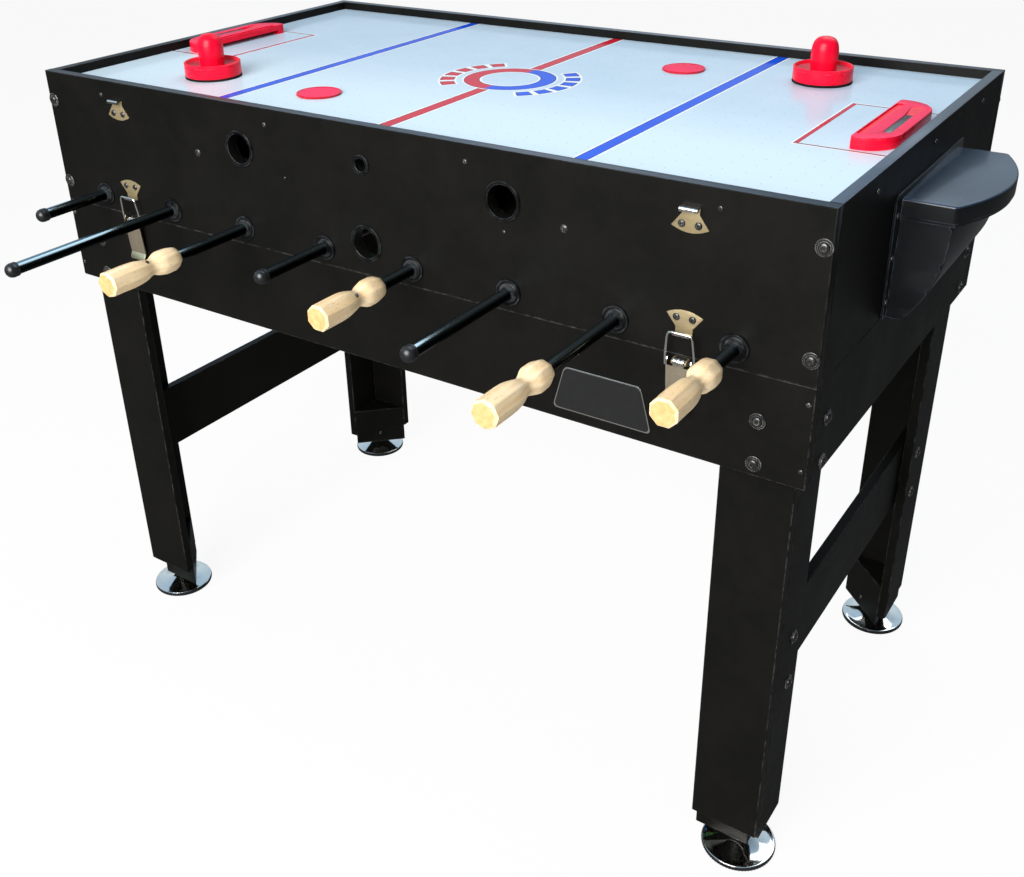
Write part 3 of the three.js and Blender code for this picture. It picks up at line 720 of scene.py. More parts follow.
def printed_sheet():
    """White laminate with blue and red lines, a centre ring, plain marks and rows of air holes; its
    white is painted pale blue as a sky reflection and paler towards the front as a painted reflection,
    and the holes are painted dark as shade.
    """
    finish, tree, shader, vector = new_finish("playing_white_print")
    axes = node(tree, "ShaderNodeSeparateXYZ", {0: vector})
    x, y, z = axes.outputs
    side = maths(tree, "ABSOLUTE", x)
    across = maths(tree, "ABSOLUTE", y)

    def stripe(value, centre, half):
        return effect(tree, STRIPE, {"Value": value, "Centre": centre, "Half Width": half})

    clouds = effect(tree, MOTTLE, {"Vector": vector, "Scale": 2.5, "Spread": 0.22})
    # The white laminate is painted pale blue as a sky reflection, then painted paler towards the front
    # as a reflection.
    sheet = blended(tree, clouds, tint("#b9d3e8"), tint("#c9e0f2"))
    near = maths(tree, "MULTIPLY", ranged(tree, y, 20 * MM, -160 * MM), 0.75)
    sheet = blended(tree, near, sheet, tint("#d8eefa"))
    white = tint("#f2f8fd")
    blue = blended(tree, clouds, tint("#0c3fcb"), tint("#1060f2"))
    red = blended(tree, clouds, tint("#c4142c"), tint("#d41e3a"))
    dark_red = tint("#7c1c28")
    dark_blue = tint("#16347f")

    colour = blended(tree, stripe(side, 289 * MM, 11.5 * MM), sheet, white)
    colour = blended(tree, stripe(side, 289 * MM, 8.8 * MM), colour, dark_blue)
    colour = blended(tree, stripe(side, 289 * MM, 7.6 * MM), colour, blue)
    colour = blended(tree, stripe(side, 0.0, 12 * MM), colour, white)
    colour = blended(tree, stripe(side, 0.0, 9 * MM), colour, dark_red)
    colour = blended(tree, stripe(side, 0.0, 7.4 * MM), colour, red)

    crease_x = stripe(side, 540 * MM, 67.5 * MM)
    crease_y = stripe(across, 0.0, 107.5 * MM)
    inner_x = stripe(side, 543 * MM, 64.5 * MM)
    inner_y = stripe(across, 0.0, 104 * MM)
    outer = maths(tree, "MULTIPLY", crease_x, crease_y)
    inner = maths(tree, "MULTIPLY", inner_x, inner_y)
    halo_x = stripe(side, 540 * MM, 70 * MM)
    halo_y = stripe(across, 0.0, 110 * MM)
    colour = blended(tree, maths(tree, "MULTIPLY", halo_x, halo_y), colour, white)
    colour = blended(tree, outer, colour, dark_red)
    core_x = stripe(side, 475.6 * MM, 2 * MM)
    core_y = stripe(across, 0.0, 105.5 * MM)
    core = maths(tree, "MULTIPLY", core_x, core_y)
    colour = blended(tree, core, colour, red)
    colour = blended(tree, inner, colour, sheet)

    radius = distance_to_middle(tree, x, y)
    right = ranged(tree, x, -4 * MM, 4 * MM)
    ring_colour = blended(tree, right, red, blue)
    ring_line = blended(tree, right, dark_red, dark_blue)
    colour = blended(tree, stripe(radius, 0.0, 70 * MM), colour, white)
    colour = blended(tree, stripe(radius, 56 * MM, 11.6 * MM), colour, ring_line)
    colour = blended(tree, stripe(radius, 56 * MM, 10.2 * MM), colour, ring_colour)
    colour = blended(tree, stripe(radius, 0.0, 41.5 * MM), colour, sheet)

    for middle, shade, edge in ((180, red, dark_red), (0, blue, dark_blue)):
        turned_vector = node(
            tree,
            "ShaderNodeMapping",
            {"Vector": vector, "Rotation": (0, 0, math.radians(-middle))},
        )
        turned_axes = node(tree, "ShaderNodeSeparateXYZ", {0: turned_vector.outputs[0]})
        angle = maths(tree, "ARCTAN2", turned_axes.outputs[1], turned_axes.outputs[0])
        steps = maths(tree, "MULTIPLY", angle, 1 / math.radians(18))
        local = maths(tree, "SUBTRACT", maths(tree, "FRACT", steps), 0.5)
        arc = stripe(angle, 0.0, math.radians(54))
        halo = maths(tree, "MULTIPLY", stripe(radius, 92 * MM, 13.5 * MM), arc)
        colour = blended(tree, maths(tree, "MULTIPLY", halo, 0.9), colour, white)
        for height, length, paint in ((10.5 * MM, 0.36, edge), (9 * MM, 0.3, shade)):
            band = maths(tree, "MULTIPLY", stripe(radius, 92 * MM, height), arc)
            mark = maths(tree, "LESS_THAN", maths(tree, "ABSOLUTE", local), length)
            colour = blended(tree, maths(tree, "MULTIPLY", band, mark), colour, paint)

    # Air holes: dark dots painted as the shade inside each hole; the relief below also dents them.
    cells = node(
        tree,
        "ShaderNodeVectorMath",
        {0: vector, 1: (1 / (28.6 * MM), 1 / (28.6 * MM), 0)},
        operation="MULTIPLY",
    )
    cell = node(tree, "ShaderNodeVectorMath", {0: cells.outputs[0]}, operation="FRACTION")
    centred = node(
        tree,
        "ShaderNodeVectorMath",
        {0: cell.outputs[0], 1: (0.5, 0.5, 0)},
        operation="SUBTRACT",
    )
    reach = node(tree, "ShaderNodeVectorMath", {0: centred.outputs[0]}, operation="LENGTH")
    hole = ranged(tree, reach.outputs["Value"], 0.032, 0.026)
    upper = ranged(tree, z, PARTING + SURFACE_TOP - 2 * MM, PARTING + SURFACE_TOP - MM)
    hole = maths(tree, "MULTIPLY", hole, upper)
    colour = blended(tree, maths(tree, "MULTIPLY", hole, 0.6), colour, tint("#4e5b68"))
    below = blended(tree, upper, tint("#b59c78"), colour)
    feed(tree, shader, "Base Color", below)
    smears = effect(
        tree,
        STREAKS,
        {"Vector": vector, "Stretch": (6.0, 2.0, 6.0), "Spread": 0.25},
    )
    feed(tree, shader, "Roughness", ranged(tree, smears, 0.0, 1.0, 0.1, 0.2))
    fine = noise(tree, vector, 260.0, 3.0)
    height = maths(tree, "SUBTRACT", maths(tree, "MULTIPLY", fine, 0.15), hole)
    relief(tree, shader, height, 0.25, 0.3 * MM)
    shader.inputs["Specular IOR Level"].default_value = 0.09
    return finish


def football_pitch():
    """Green pitch with white lines, on the side that is under the upturned box."""
    finish, tree, shader, vector = new_finish("pitch_green_print")
    axes = node(tree, "ShaderNodeSeparateXYZ", {0: vector})
    x, y = axes.outputs[0], axes.outputs[1]
    side = maths(tree, "ABSOLUTE", x)
    across = maths(tree, "ABSOLUTE", y)

    def stripe(value, centre, half):
        return effect(tree, STRIPE, {"Value": value, "Centre": centre, "Half Width": half})

    mown = maths(tree, "FRACT", maths(tree, "MULTIPLY", x, 1 / (150 * MM)))
    mown = maths(tree, "GREATER_THAN", mown, 0.5)
    green = blended(tree, mown, tint("#2c7a3c"), tint("#379147"))
    grit = effect(tree, MOTTLE, {"Vector": vector, "Scale": 60.0, "Spread": 0.2})
    green = blended(tree, maths(tree, "MULTIPLY", grit, 0.3), green, tint("#1f5f2d"))
    radius = distance_to_middle(tree, x, y)
    box_x = maths(tree, "MULTIPLY", stripe(side, 480 * MM, 1.5 * MM), stripe(across, 0.0, 170 * MM))
    box_y = maths(tree, "MULTIPLY", stripe(across, 170 * MM, 1.5 * MM), stripe(side, 545 * MM, 66 * MM))
    lines = maths(tree, "MAXIMUM", stripe(side, 0.0, 1.5 * MM), stripe(radius, 95 * MM, 1.5 * MM))
    lines = maths(tree, "MAXIMUM", lines, stripe(radius, 0.0, 5 * MM))
    lines = maths(tree, "MAXIMUM", lines, maths(tree, "MAXIMUM", box_x, box_y))
    normal = node(tree, "ShaderNodeNewGeometry").outputs["Normal"]
    upward = node(tree, "ShaderNodeSeparateXYZ", {0: normal}).outputs[2]
    printed = blended(tree, lines, green, tint("#e8ede6"))
    bare = ranged(tree, upward, 0.0, 0.5)
    feed(tree, shader, "Base Color", blended(tree, bare, printed, tint("#15120e")))
    feed(tree, shader, "Roughness", ranged(tree, grit, 0.0, 1.0, 0.4, 0.55))
    relief(tree, shader, grit, 0.1, 0.1 * MM)
    return finish


def beech_wood():
    """Pale beech: soft bands along the handle, short dark flecks and fine pores."""
    finish, tree, shader, vector = new_finish("beech_turned")
    drawn = node(
        tree,
        "ShaderNodeVectorMath",
        {0: vector, 1: (150.0, 9.0, 150.0)},
        operation="MULTIPLY",
    )
    bands = noise(tree, drawn.outputs[0], 0.9, 4.0, 0.55)
    bands = ranged(tree, bands, 0.3, 0.7)
    wide = noise(tree, vector, 14.0, 3.0, 0.5)
    fleck_vector = node(
        tree,
        "ShaderNodeVectorMath",
        {0: vector, 1: (1100.0, 130.0, 1100.0)},
        operation="MULTIPLY",
    )
    flecks = noise(tree, fleck_vector.outputs[0], 1.0, 2.0, 0.6)
    flecks = ranged(tree, flecks, 0.6, 0.72)
    base = blended(tree, bands, tint("#e8c692"), tint("#fdeac6"))
    base = blended(tree, ranged(tree, wide, 0.35, 0.65, 0.0, 0.6), base, tint("#ecd0a2"))
    base = blended(tree, maths(tree, "MULTIPLY", flecks, 0.6), base, tint("#a67c4e"))
    # Paler edges: partly scuffs, partly a painted edge highlight.
    scuff_and_highlight_mask = effect(tree, EDGE_SCUFF_AND_HIGHLIGHT, {"Vector": vector, "Width": 1.4 * MM, "Breakup": 90.0})
    base = blended(tree, maths(tree, "MULTIPLY", scuff_and_highlight_mask, 0.7), base, tint("#f8e9cd"))
    across = node(tree, "ShaderNodeNewGeometry").outputs["Normal"]
    endwise = maths(tree, "ABSOLUTE", node(tree, "ShaderNodeSeparateXYZ", {0: across}).outputs[1])
    end_grain = blended(tree, bands, tint("#c39558"), tint("#dcb27c"))
    base = blended(tree, ranged(tree, endwise, 0.8, 0.95), base, end_grain)
    feed(tree, shader, "Base Color", base)
    feed(tree, shader, "Roughness", ranged(tree, bands, 0.0, 1.0, 0.55, 0.42))
    height = maths(tree, "SUBTRACT", maths(tree, "MULTIPLY", bands, 0.3), flecks)
    relief(tree, shader, height, 0.25, 0.2 * MM)
    return finish


BLACK_LAMINATE = moulded(
    "black_laminate_board", "#0d0d0b", "#131210", "#5c5c5a", 0.42, 9.0, specular=0.1, scuff_and_highlight_share=0.8,
)
BLACK_PLASTIC = moulded(
    "black_moulding", "#0a0b0c", "#111315", "#3a3e42", 0.34, 40.0, coat=0.1, specular=0.3,
)
LINED_PLASTIC = moulded(
    "lined_black_moulding", "#060708", "#0b0c0d", "#55595c", 0.34, 40.0, specular=0.16, scuff_and_highlight_share=0.7,
)
HOOD_PLASTIC = moulded(
    "return_black_moulding", "#0a0c0e", "#121416", "#6a7a8a", 0.3, 7.0, coat=0.2, specular=0.3,
)
# The black tray moulding with a painted sky reflection, blue-grey, for its upward faces.
TRAY_TOP_PAINTED_SKY = moulded(
    "return_top_painted_sky", "#14202c", "#283b50", "#7c90a6", 0.3, 4.0, coat=0.35, specular=0.25,
)
RUBBER = moulded("black_cap_rubber", "#101214", "#191b1e", "#303338", 0.38, 120.0, coat=0.15)
DARK_ROD = dark_chrome()
RED_PLASTIC = moulded(
    "signal_red_moulding", "#e4062a", "#fa0a34", "#ff5a74", 0.3, 30.0, specular=0.2,
)
# The same red plastic painted darker as shade, for the puck's rim and the pusher's dish.
SHADED_RED_PLASTIC = moulded(
    "signal_red_shade", "#a90a1f", "#c30c29", "#ff4a66", 0.35, 30.0, specular=0.3,
)
# The same red plastic painted paler pink on upward faces, as painted light from above.
LIT_TOP_RED_PLASTIC = moulded(
    "signal_red_painted_lit_top", "#ee2450", "#fa3264", "#ff8aa4", 0.32, 30.0, specular=0.06,
)
BLUE_PLASTIC = moulded("team_blue_moulding", "#1d4fae", "#2a60c8", "#6f9af0", 0.35, 40.0)
SMOKED_WINDOW = moulded("smoked_window", "#14181a", "#1e2326", "#4d575b", 0.25, 60.0, coat=0.2)
FELT = moulded("black_felt", "#0c0c0d", "#191919", "#242424", 0.9, 400.0, specular=0.2)
BLACK_SCREW = moulded(
    "black_screw", "#141413", "#1f1f1e", "#8d8a84", 0.28, 200.0, coat=0.4, scuff_and_highlight_share=0.9,
)
# Near black: painted shade in screw recesses and sockets, and the badge's own black face.
RECESS_SHADE_AND_BADGE_BLACK = moulded("recess_shade_and_badge_black", "#050505", "#0a0a0a", "#101010", 0.6, 200.0, scuff_and_highlight_share=0.1)
CHROME = metal("mirror_chrome_plate", "#dfdcd2", "#f4f1e8", 0.05, (60.0, 60.0, 400.0))
BRIGHT_NICKEL = metal("nickel_bright", "#d6d3cc", "#ece9e2", 0.14, (300.0, 60.0, 60.0))
CHAMPAGNE = metal(
    "nickel_champagne", "#94835f", "#ab9b78", 0.3, (120.0, 60.0, 900.0), metallic=0.55,
)
SATIN_STEEL = metal(
    "nickel_satin", "#6a6253", "#8a806f", 0.34, (900.0, 60.0, 60.0), metallic=0.5,
)
FINGER_NICKEL = metal("nickel_finger", "#c9be92", "#e6ddb4", 0.25, (300.0, 60.0, 60.0))
# Darker nickel for the latch base plates: painted shade where the lever shadows the plate.
SHADED_BASE_NICKEL = metal("nickel_base_painted_shade", "#3c3830", "#575144", 0.35, (120.0, 60.0, 900.0))
PAINTED_SKY_BAND_ALONG_X = edge_band_with_painted_sky("edge_band_long_painted_sky", (14.0, 700.0, 700.0))
PAINTED_SKY_BAND_ALONG_Y = edge_band_with_painted_sky("edge_band_end_painted_sky", (700.0, 14.0, 700.0))
PLAYING_WHITE = printed_sheet()
PITCH_GREEN = football_pitch()
BEECH = beech_wood()


# Fasteners, made with their face at Z zero and facing +Z


def cross_recess(reach, width, rise):
    """A dark cross just inside a screw head, painted as the shade in its cross recess."""
    one = block((-reach, -width, rise - 0.6 * MM), (reach, width, rise))
    other = block((-width, -reach, rise - 0.6 * MM), (width, reach, rise))
    return coated(merged(one, other), 1)


def washer_bolt():
    """A round washer under a domed head with a hexagon socket."""
    washer = turned([
        (0, 0), (9.8 * MM, 0), (9.8 * MM, 0.9 * MM), (9.3 * MM, 1.3 * MM), (0, 1.3 * MM),
    ], SMALL_STEPS)
    head = turned([
        (0, 1.0 * MM), (6.6 * MM, 1.0 * MM), (6.6 * MM, 1.9 * MM), (6.1 * MM, 3.0 * MM),
        (5.0 * MM, 3.9 * MM), (3.6 * MM, 4.3 * MM), (3.1 * MM, 4.35 * MM), (2.9 * MM, 4.2 * MM),
        (2.7 * MM, 2.4 * MM), (0, 2.2 * MM),
    ], SMALL_STEPS * 3 // 4)
    socket = turned([(0, 2.21 * MM), (2.6 * MM, 2.41 * MM), (0, 2.45 * MM)], 6)
    # The socket is painted near black as the shade inside it.
    return merged(washer, head, coated(socket, 1))


def small_screw(radius):
    """A low round head with a cross recess."""
    head = turned([
        (0, -0.4 * MM), (radius, -0.4 * MM), (radius, 0.5 * MM), (radius * 0.86, 1.3 * MM),
        (radius * 0.6, 1.75 * MM), (radius * 0.3, 1.95 * MM), (0, 2.0 * MM),
    ], SMALL_STEPS * 3 // 4)
    return merged(head, cross_recess(radius * 0.58, radius * 0.13, 2.02 * MM))


def facing(direction):
    """Turns +Z towards a direction."""
    return Vector((0, 0, 1)).rotation_difference(Vector(direction)).to_matrix().to_4x4()


def screws_at(template, direction, points):
    return repeated(template, [at(*point) @ facing(direction) for point in points])


# Which way each side faces: pieces are made with their outer face at Y zero, facing +Y


def side_place(front):
    if front:
        return at(0, -HALF_WIDTH, PARTING) @ turn_about("Z", 180)
    return at(0, HALF_WIDTH, PARTING)


def end_place(right):
    if right:
        return at(HALF_LENGTH, 0, PARTING)
    return at(-HALF_LENGTH, 0, PARTING) @ turn_about("Z", 180)


def rod_places():
    return [ROD_PITCH * index - HALF_LENGTH + ROD_END_INSET for index in range(ROD_COUNT)]


# Game box


def keeper():
    """A fan of champagne plate that ends in a rolled hook."""
    tip = KEEPER_TOP + 2 * KEEPER_CROWN
    loop = [
        (-KEEPER_NECK_HALF, HOOK_RISE - HOOK_DROP),
        (KEEPER_NECK_HALF, HOOK_RISE - HOOK_DROP),
        (KEEPER_NECK_HALF, KEEPER_NECK),
        *curved((KEEPER_HALF_WIDTH, KEEPER_TOP), (0, tip), (-KEEPER_HALF_WIDTH, KEEPER_TOP), 14),
        (-KEEPER_HALF_WIDTH, KEEPER_TOP),
        (-KEEPER_NECK_HALF, KEEPER_NECK),
    ]
    fan = softened(plate(loop, KEEPER_THICKNESS), 0.35 * MM, 2)
    placed(fan, UPRIGHT)
    bottom = HOOK_RISE - HOOK_DROP
    lip = HOOK_PROUD - KEEPER_THICKNESS
    profile = [
        (0, bottom),
        *curved((lip - 2.5 * MM, bottom), (HOOK_PROUD, bottom), (HOOK_PROUD, bottom + 3 * MM), 5),
        (HOOK_PROUD, bottom + 3 * MM),
        (HOOK_PROUD, HOOK_RISE),
        (lip, HOOK_RISE),
        *curved((lip, bottom + 3.2 * MM), (lip, bottom + 1.5 * MM), (5 * MM, bottom + 1.5 * MM), 5),
        (0, bottom + KEEPER_THICKNESS),
    ]
    hook = plate(profile, 2 * KEEPER_NECK_HALF)
    placed(hook, at(-KEEPER_NECK_HALF, 0, 0), ENDWISE)
    return merged(fan, coated(hook, 1))


def keeper_set():
    lower = keeper()
    upper = placed(lower.copy(), at(0, 0, BOX_HEIGHT), Matrix.Scale(-1, 4, (0, 0, 1)))
    return merged(lower, upper)


def bearing():
    """A flange with a raised edge ring and a ridged sleeve round the rod."""
    outline = [
        (ROD_RADIUS + CLEARANCE, -BOARD),
        (BORE_RADIUS - CLEARANCE, -BOARD),
        (BORE_RADIUS - CLEARANCE, 0),
        (FLANGE_RADIUS, 0),
        (FLANGE_RADIUS, 0.62 * FLANGE_THICKNESS),
        (FLANGE_RADIUS - 0.7 * MM, FLANGE_THICKNESS),
        (FLANGE_RADIUS - 1.7 * MM, FLANGE_THICKNESS),
        (FLANGE_RADIUS - 2.2 * MM, 0.66 * FLANGE_THICKNESS),
        (BOSS_RADIUS + 1.2 * MM, 0.66 * FLANGE_THICKNESS),
        (BOSS_RADIUS, FLANGE_THICKNESS),
    ]
    ridge = (BOSS_LENGTH - FLANGE_THICKNESS) / 3
    for step in range(3):
        rise = FLANGE_THICKNESS + step * ridge
        shrink = step * 0.8 * MM
        outline += [
            (BOSS_RADIUS - shrink, rise + 0.7 * ridge),
            (BOSS_RADIUS - shrink - 0.9 * MM, rise + 0.8 * ridge),
            (BOSS_RADIUS - shrink - 0.9 * MM, rise + 0.95 * ridge),
        ]
    outline += [
        (BOSS_RADIUS - 2.4 * MM, BOSS_LENGTH),
        (ROD_RADIUS + CLEARANCE, BOSS_LENGTH),
        (ROD_RADIUS + CLEARANCE, -BOARD),
    ]
    return placed(turned(outline, 48), ALONG_Y)


def lining_ring(radius):
    outline = [
        (radius - 1.2 * MM, -BOARD),
        (radius, -BOARD),
        (radius, 0),
        (radius + RING_WIDTH, 0),
        (radius + RING_WIDTH, RING_PROUD - 0.8 * MM),
        (radius + RING_WIDTH - 0.8 * MM, RING_PROUD),
        (radius - 0.4 * MM, RING_PROUD),
        (radius - 1.2 * MM, RING_PROUD - 0.8 * MM),
        (radius - 1.2 * MM, -BOARD),
    ]
    return placed(turned(outline, 64), ALONG_Y)


def build_long_panel(front):
    side = "front" if front else "back"
    place = side_place(front)
    mirror = -1 if front else 1
    holes = [(0, SERVE_RISE, INTAKE_RADIUS)]
    if front:
        holes += [
            (-INTAKE_SPREAD, INTAKE_RISE, INTAKE_RADIUS),
            (INTAKE_SPREAD, INTAKE_RISE, INTAKE_RADIUS),
            (0, INLET_RISE, INLET_RADIUS),
        ]
    loops = [circle(x, ROD_RISE, BORE_RADIUS, 24) for x in rod_places()]
    loops += [circle(x, rise, radius, 48) for x, rise, radius in holes]
    board = pierced_plate(
        rectangle((-HALF_LENGTH, 0), (HALF_LENGTH, BOX_HEIGHT), EDGE_SOFTENING),
        loops,
        BOARD,
        EDGE_SOFTENING,
    )
    placed(board, place, at(0, -BOARD, 0), UPRIGHT)
    top = PARTING + BOX_HEIGHT - EDGE_SOFTENING / 2
    coated(board, 1, lambda face: face.calc_center_median().z > top)
    piece(
        f"{side}_panel_board",
        board,
        "game_box",
        [BLACK_LAMINATE, PAINTED_SKY_BAND_ALONG_X],
        [f"{side}_panel"],
    )
    bearings = repeated(bearing(), [place @ at(x, 0, ROD_RISE) for x in rod_places()])
    piece(f"{side}_rod_bearings", bearings, "game_box", [LINED_PLASTIC], smooth=40)
    rings = merged(*[
        placed(lining_ring(radius), place @ at(x, 0, rise)) for x, rise, radius in holes
    ])
    piece(f"{side}_lining_rings", rings, "game_box", [LINED_PLASTIC], smooth=40)
    keepers = repeated(
        keeper_set(),
        [place @ at(sign * LATCH_OFFSET, 0, 0) for sign in (-1, 1)],
    )
    piece(f"{side}_keepers", keepers, "game_box", [CHAMPAGNE, BRIGHT_NICKEL], smooth=30)
    keeper_points = [
        (x + across, KEEPER_THICKNESS, rise)
        for x in (-LATCH_OFFSET, LATCH_OFFSET)
        for across in (-KEEPER_SCREW_SPREAD, KEEPER_SCREW_SPREAD)
        for rise in (KEEPER_SCREW_RISE, BOX_HEIGHT - KEEPER_SCREW_RISE)
    ]
    keeper_screws = screws_at(small_screw(4.4 * MM), (0, 1, 0), keeper_points)
    bolts = screws_at(
        washer_bolt(),
        (0, 1, 0),
        [(x, 0, rise) for x in (-600 * MM, 600 * MM) for rise in (157 * MM, 31 * MM)],
    )
    top_screws = screws_at(
        small_screw(3.4 * MM),
        (0, 1, 0),
        [(x, 0, 178 * MM) for x in (-487 * MM, -162 * MM, 162 * MM, 487 * MM)],
    )
    middle_screws = screws_at(
        small_screw(5.2 * MM),
        (0, 1, 0),
        [(-298 * MM, 0, 120 * MM), (298 * MM, 0, 120 * MM)],
    )
    pins = screws_at(
        small_screw(2.4 * MM),
        (0, 1, 0),
        [(mirror * -134 * MM, 0, 110 * MM), (mirror * 216 * MM, 0, 101 * MM)],
    )
    fasteners = merged(keeper_screws, bolts, top_screws, middle_screws, pins)
    placed(fasteners, place)
    piece(
        f"{side}_panel_fasteners",
        fasteners,
        "game_box",
        [BLACK_SCREW, RECESS_SHADE_AND_BADGE_BLACK],
        smooth=35,
    )


def build_end_panel(right):
    end = "right" if right else "left"
    place = end_place(right)
    board = pierced_plate(
        rectangle((-INNER_HALF_WIDTH, 0), (INNER_HALF_WIDTH, BOX_HEIGHT), EDGE_SOFTENING),
        [rectangle(
            (-GOAL_HALF_WIDTH, FIELD_HEIGHT - GOAL_HEIGHT),
            (GOAL_HALF_WIDTH, FIELD_HEIGHT),
            -EDGE_SOFTENING,
        )],
        BOARD,
        EDGE_SOFTENING,
    )
    placed(board, place, at(-BOARD, 0, 0), ENDWISE)
    top = PARTING + BOX_HEIGHT - EDGE_SOFTENING / 2
    coated(board, 1, lambda face: face.calc_center_median().z > top)
    piece(
        f"{end}_panel_board",
        board,
        "game_box",
        [BLACK_LAMINATE, PAINTED_SKY_BAND_ALONG_Y],
        [f"{end}_panel"],
    )
    points = [(0, y, 180 * MM) for y in (-214 * MM, 5 * MM, 229 * MM)]
    screws = screws_at(small_screw(3.4 * MM), (1, 0, 0), points)
    flange_points = [
        (RETURN_WALL, sign * across, rise)
        for sign in (-1, 1)
        for across, rise in ((131 * MM, 128 * MM), (129 * MM, 76 * MM), (127.5 * MM, 20 * MM))
    ]
    flange_screws = screws_at(small_screw(3.6 * MM), (1, 0, 0), flange_points)
    fasteners = placed(merged(screws, flange_screws), place)
    piece(f"{end}_panel_fasteners", fasteners, "game_box", [BLACK_SCREW, RECESS_SHADE_AND_BADGE_BLACK], smooth=35)


def build_hockey_surface():
    underside = PARTING + SURFACE_TOP - HOCKEY_BOARD
    board = block(
        (CLEARANCE - INNER_HALF_LENGTH, CLEARANCE - INNER_HALF_WIDTH, underside),
        (INNER_HALF_LENGTH - CLEARANCE, INNER_HALF_WIDTH - CLEARANCE, PARTING + SURFACE_TOP),
    )
    softened(board, 0.3 * MM)
    piece(
        "hockey_playing_board",
        board,
        "game_box",
        [PLAYING_WHITE],
        ["hockey_surface"],
    )
    outline = [
        (0, -BLOWER_HEIGHT), (14 * MM, -BLOWER_HEIGHT), (15 * MM, -BLOWER_HEIGHT + 2 * MM),
        (BLOWER_RADIUS - 3 * MM, -BLOWER_HEIGHT + 2 * MM), (BLOWER_RADIUS, -BLOWER_HEIGHT + 5 * MM),
        (BLOWER_RADIUS, -4 * MM), (BLOWER_RADIUS - 2 * MM, -4 * MM), (BLOWER_RADIUS - 2 * MM, 0),
        (0, 0),
    ]
    places = [
        at(sign * INTAKE_SPREAD, BLOWER_SETBACK - INNER_HALF_WIDTH, underside) for sign in (-1, 1)
    ]
    blowers = repeated(turned(outline, 48), places)
    piece("blower_housings", blowers, "game_box", [BLACK_PLASTIC], smooth=35)
    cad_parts["football_field"].data.materials.clear()
    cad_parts["football_field"].data.materials.append(PITCH_GREEN)


def hood_skin():
    """The bulging cover under the tray: a grid bent over its profile, with sides back to the wall."""
    levels = eased([
        (0, 0.35, 0, 1.05), (0.09, 0.5, 0, 1.045), (0.26, 0.7, 0, 1.04), (0.42, 0.85, 0.05, 1.03),
        (0.6, 0.94, 0.4, 1.02), (0.8, 0.985, 0.72, 1.01), (1, 1, 1, 1),
    ], 4)
    across_steps = 20
    top = TRAY_TOP - TRAY_HEIGHT
    form = bmesh.new()
    bmesh.ops.create_grid(form, x_segments=across_steps, y_segments=len(levels) - 1, size=1)
    rims = [
        edge for edge in form.edges
        if edge.is_boundary and all(abs(vert.co.x) > 0.99 for vert in edge.verts)
    ]
    for vert in form.verts:
        share = vert.co.x
        up, depth, bulge, across = levels[round((vert.co.y + 1) / 2 * (len(levels) - 1))]
        out = depth * HOOD_DEPTH + bulge * HOOD_BULGE * (1 - share * share)
        vert.co = (out, share * across * HOOD_HALF_WIDTH, up * top)
    sides = bmesh.ops.extrude_edge_only(form, edges=rims)
    for vert in [part for part in sides["geom"] if isinstance(part, bmesh.types.BMVert)]:
        vert.co.x = RETURN_WALL / 2
    corners = [
        edge for edge in form.edges
        if len(edge.link_faces) == 2 and edge.calc_face_angle(0) > math.radians(50)
    ]
    bevel_edges(form, corners, 3.5 * MM, 3)
    bmesh.ops.recalc_face_normals(form, faces=form.faces)
    middle = min(form.faces, key=lambda face: abs(face.calc_center_median().y))
    if middle.normal.x < 0:
        bmesh.ops.reverse_faces(form, faces=form.faces)
    bmesh.ops.solidify(form, geom=form.faces, thickness=RETURN_WALL * 0.8)
    return form


def tray_loop(inset):
    """Half an outline from the wall to the nose, and its mirror."""
    half = TRAY_HALF_WIDTH - inset
    depth = TRAY_DEPTH - inset
    bend = [
        (RETURN_WALL / 2, -half),
        *curved((0.66 * depth, -half), (depth, -0.5 * half), (depth, 0), 16),
    ]
    return [*bend, (depth, 0), *[(x, -y) for x, y in reversed(bend)]]


def tray():
    """The ball tray: a rounded cover with a small step under its rim."""
    top = plate(tray_loop(0), TRAY_HEIGHT - 4 * MM)
    placed(top, at(0, 0, TRAY_TOP - TRAY_HEIGHT + 4 * MM))
    corners = [
        edge for edge in top.edges
        if all(vert.co.x > RETURN_WALL for vert in edge.verts)
        and abs(edge.verts[0].co.z - edge.verts[1].co.z) > MM
        and edge.calc_face_angle(0) > math.radians(20)
    ]
    bevel_edges(top, corners, TRAY_CORNER, 4)
    upper = [
        edge for edge in top.edges
        if all(vert.co.z > TRAY_TOP - 0.01 * MM for vert in edge.verts)
        and any(vert.co.x > RETURN_WALL for vert in edge.verts)
    ]
    bevel_edges(top, upper, TRAY_ROUNDING, 5)
    top.normal_update()
    # Upward faces take the second finish: the black moulding painted blue-grey as a sky reflection.
    coated(top, 1, lambda face: face.normal.z > 0.4)
    lower = plate(tray_loop(TRAY_STEP), 4.5 * MM)
    placed(lower, at(0, 0, TRAY_TOP - TRAY_HEIGHT))
    return merged(top, lower)


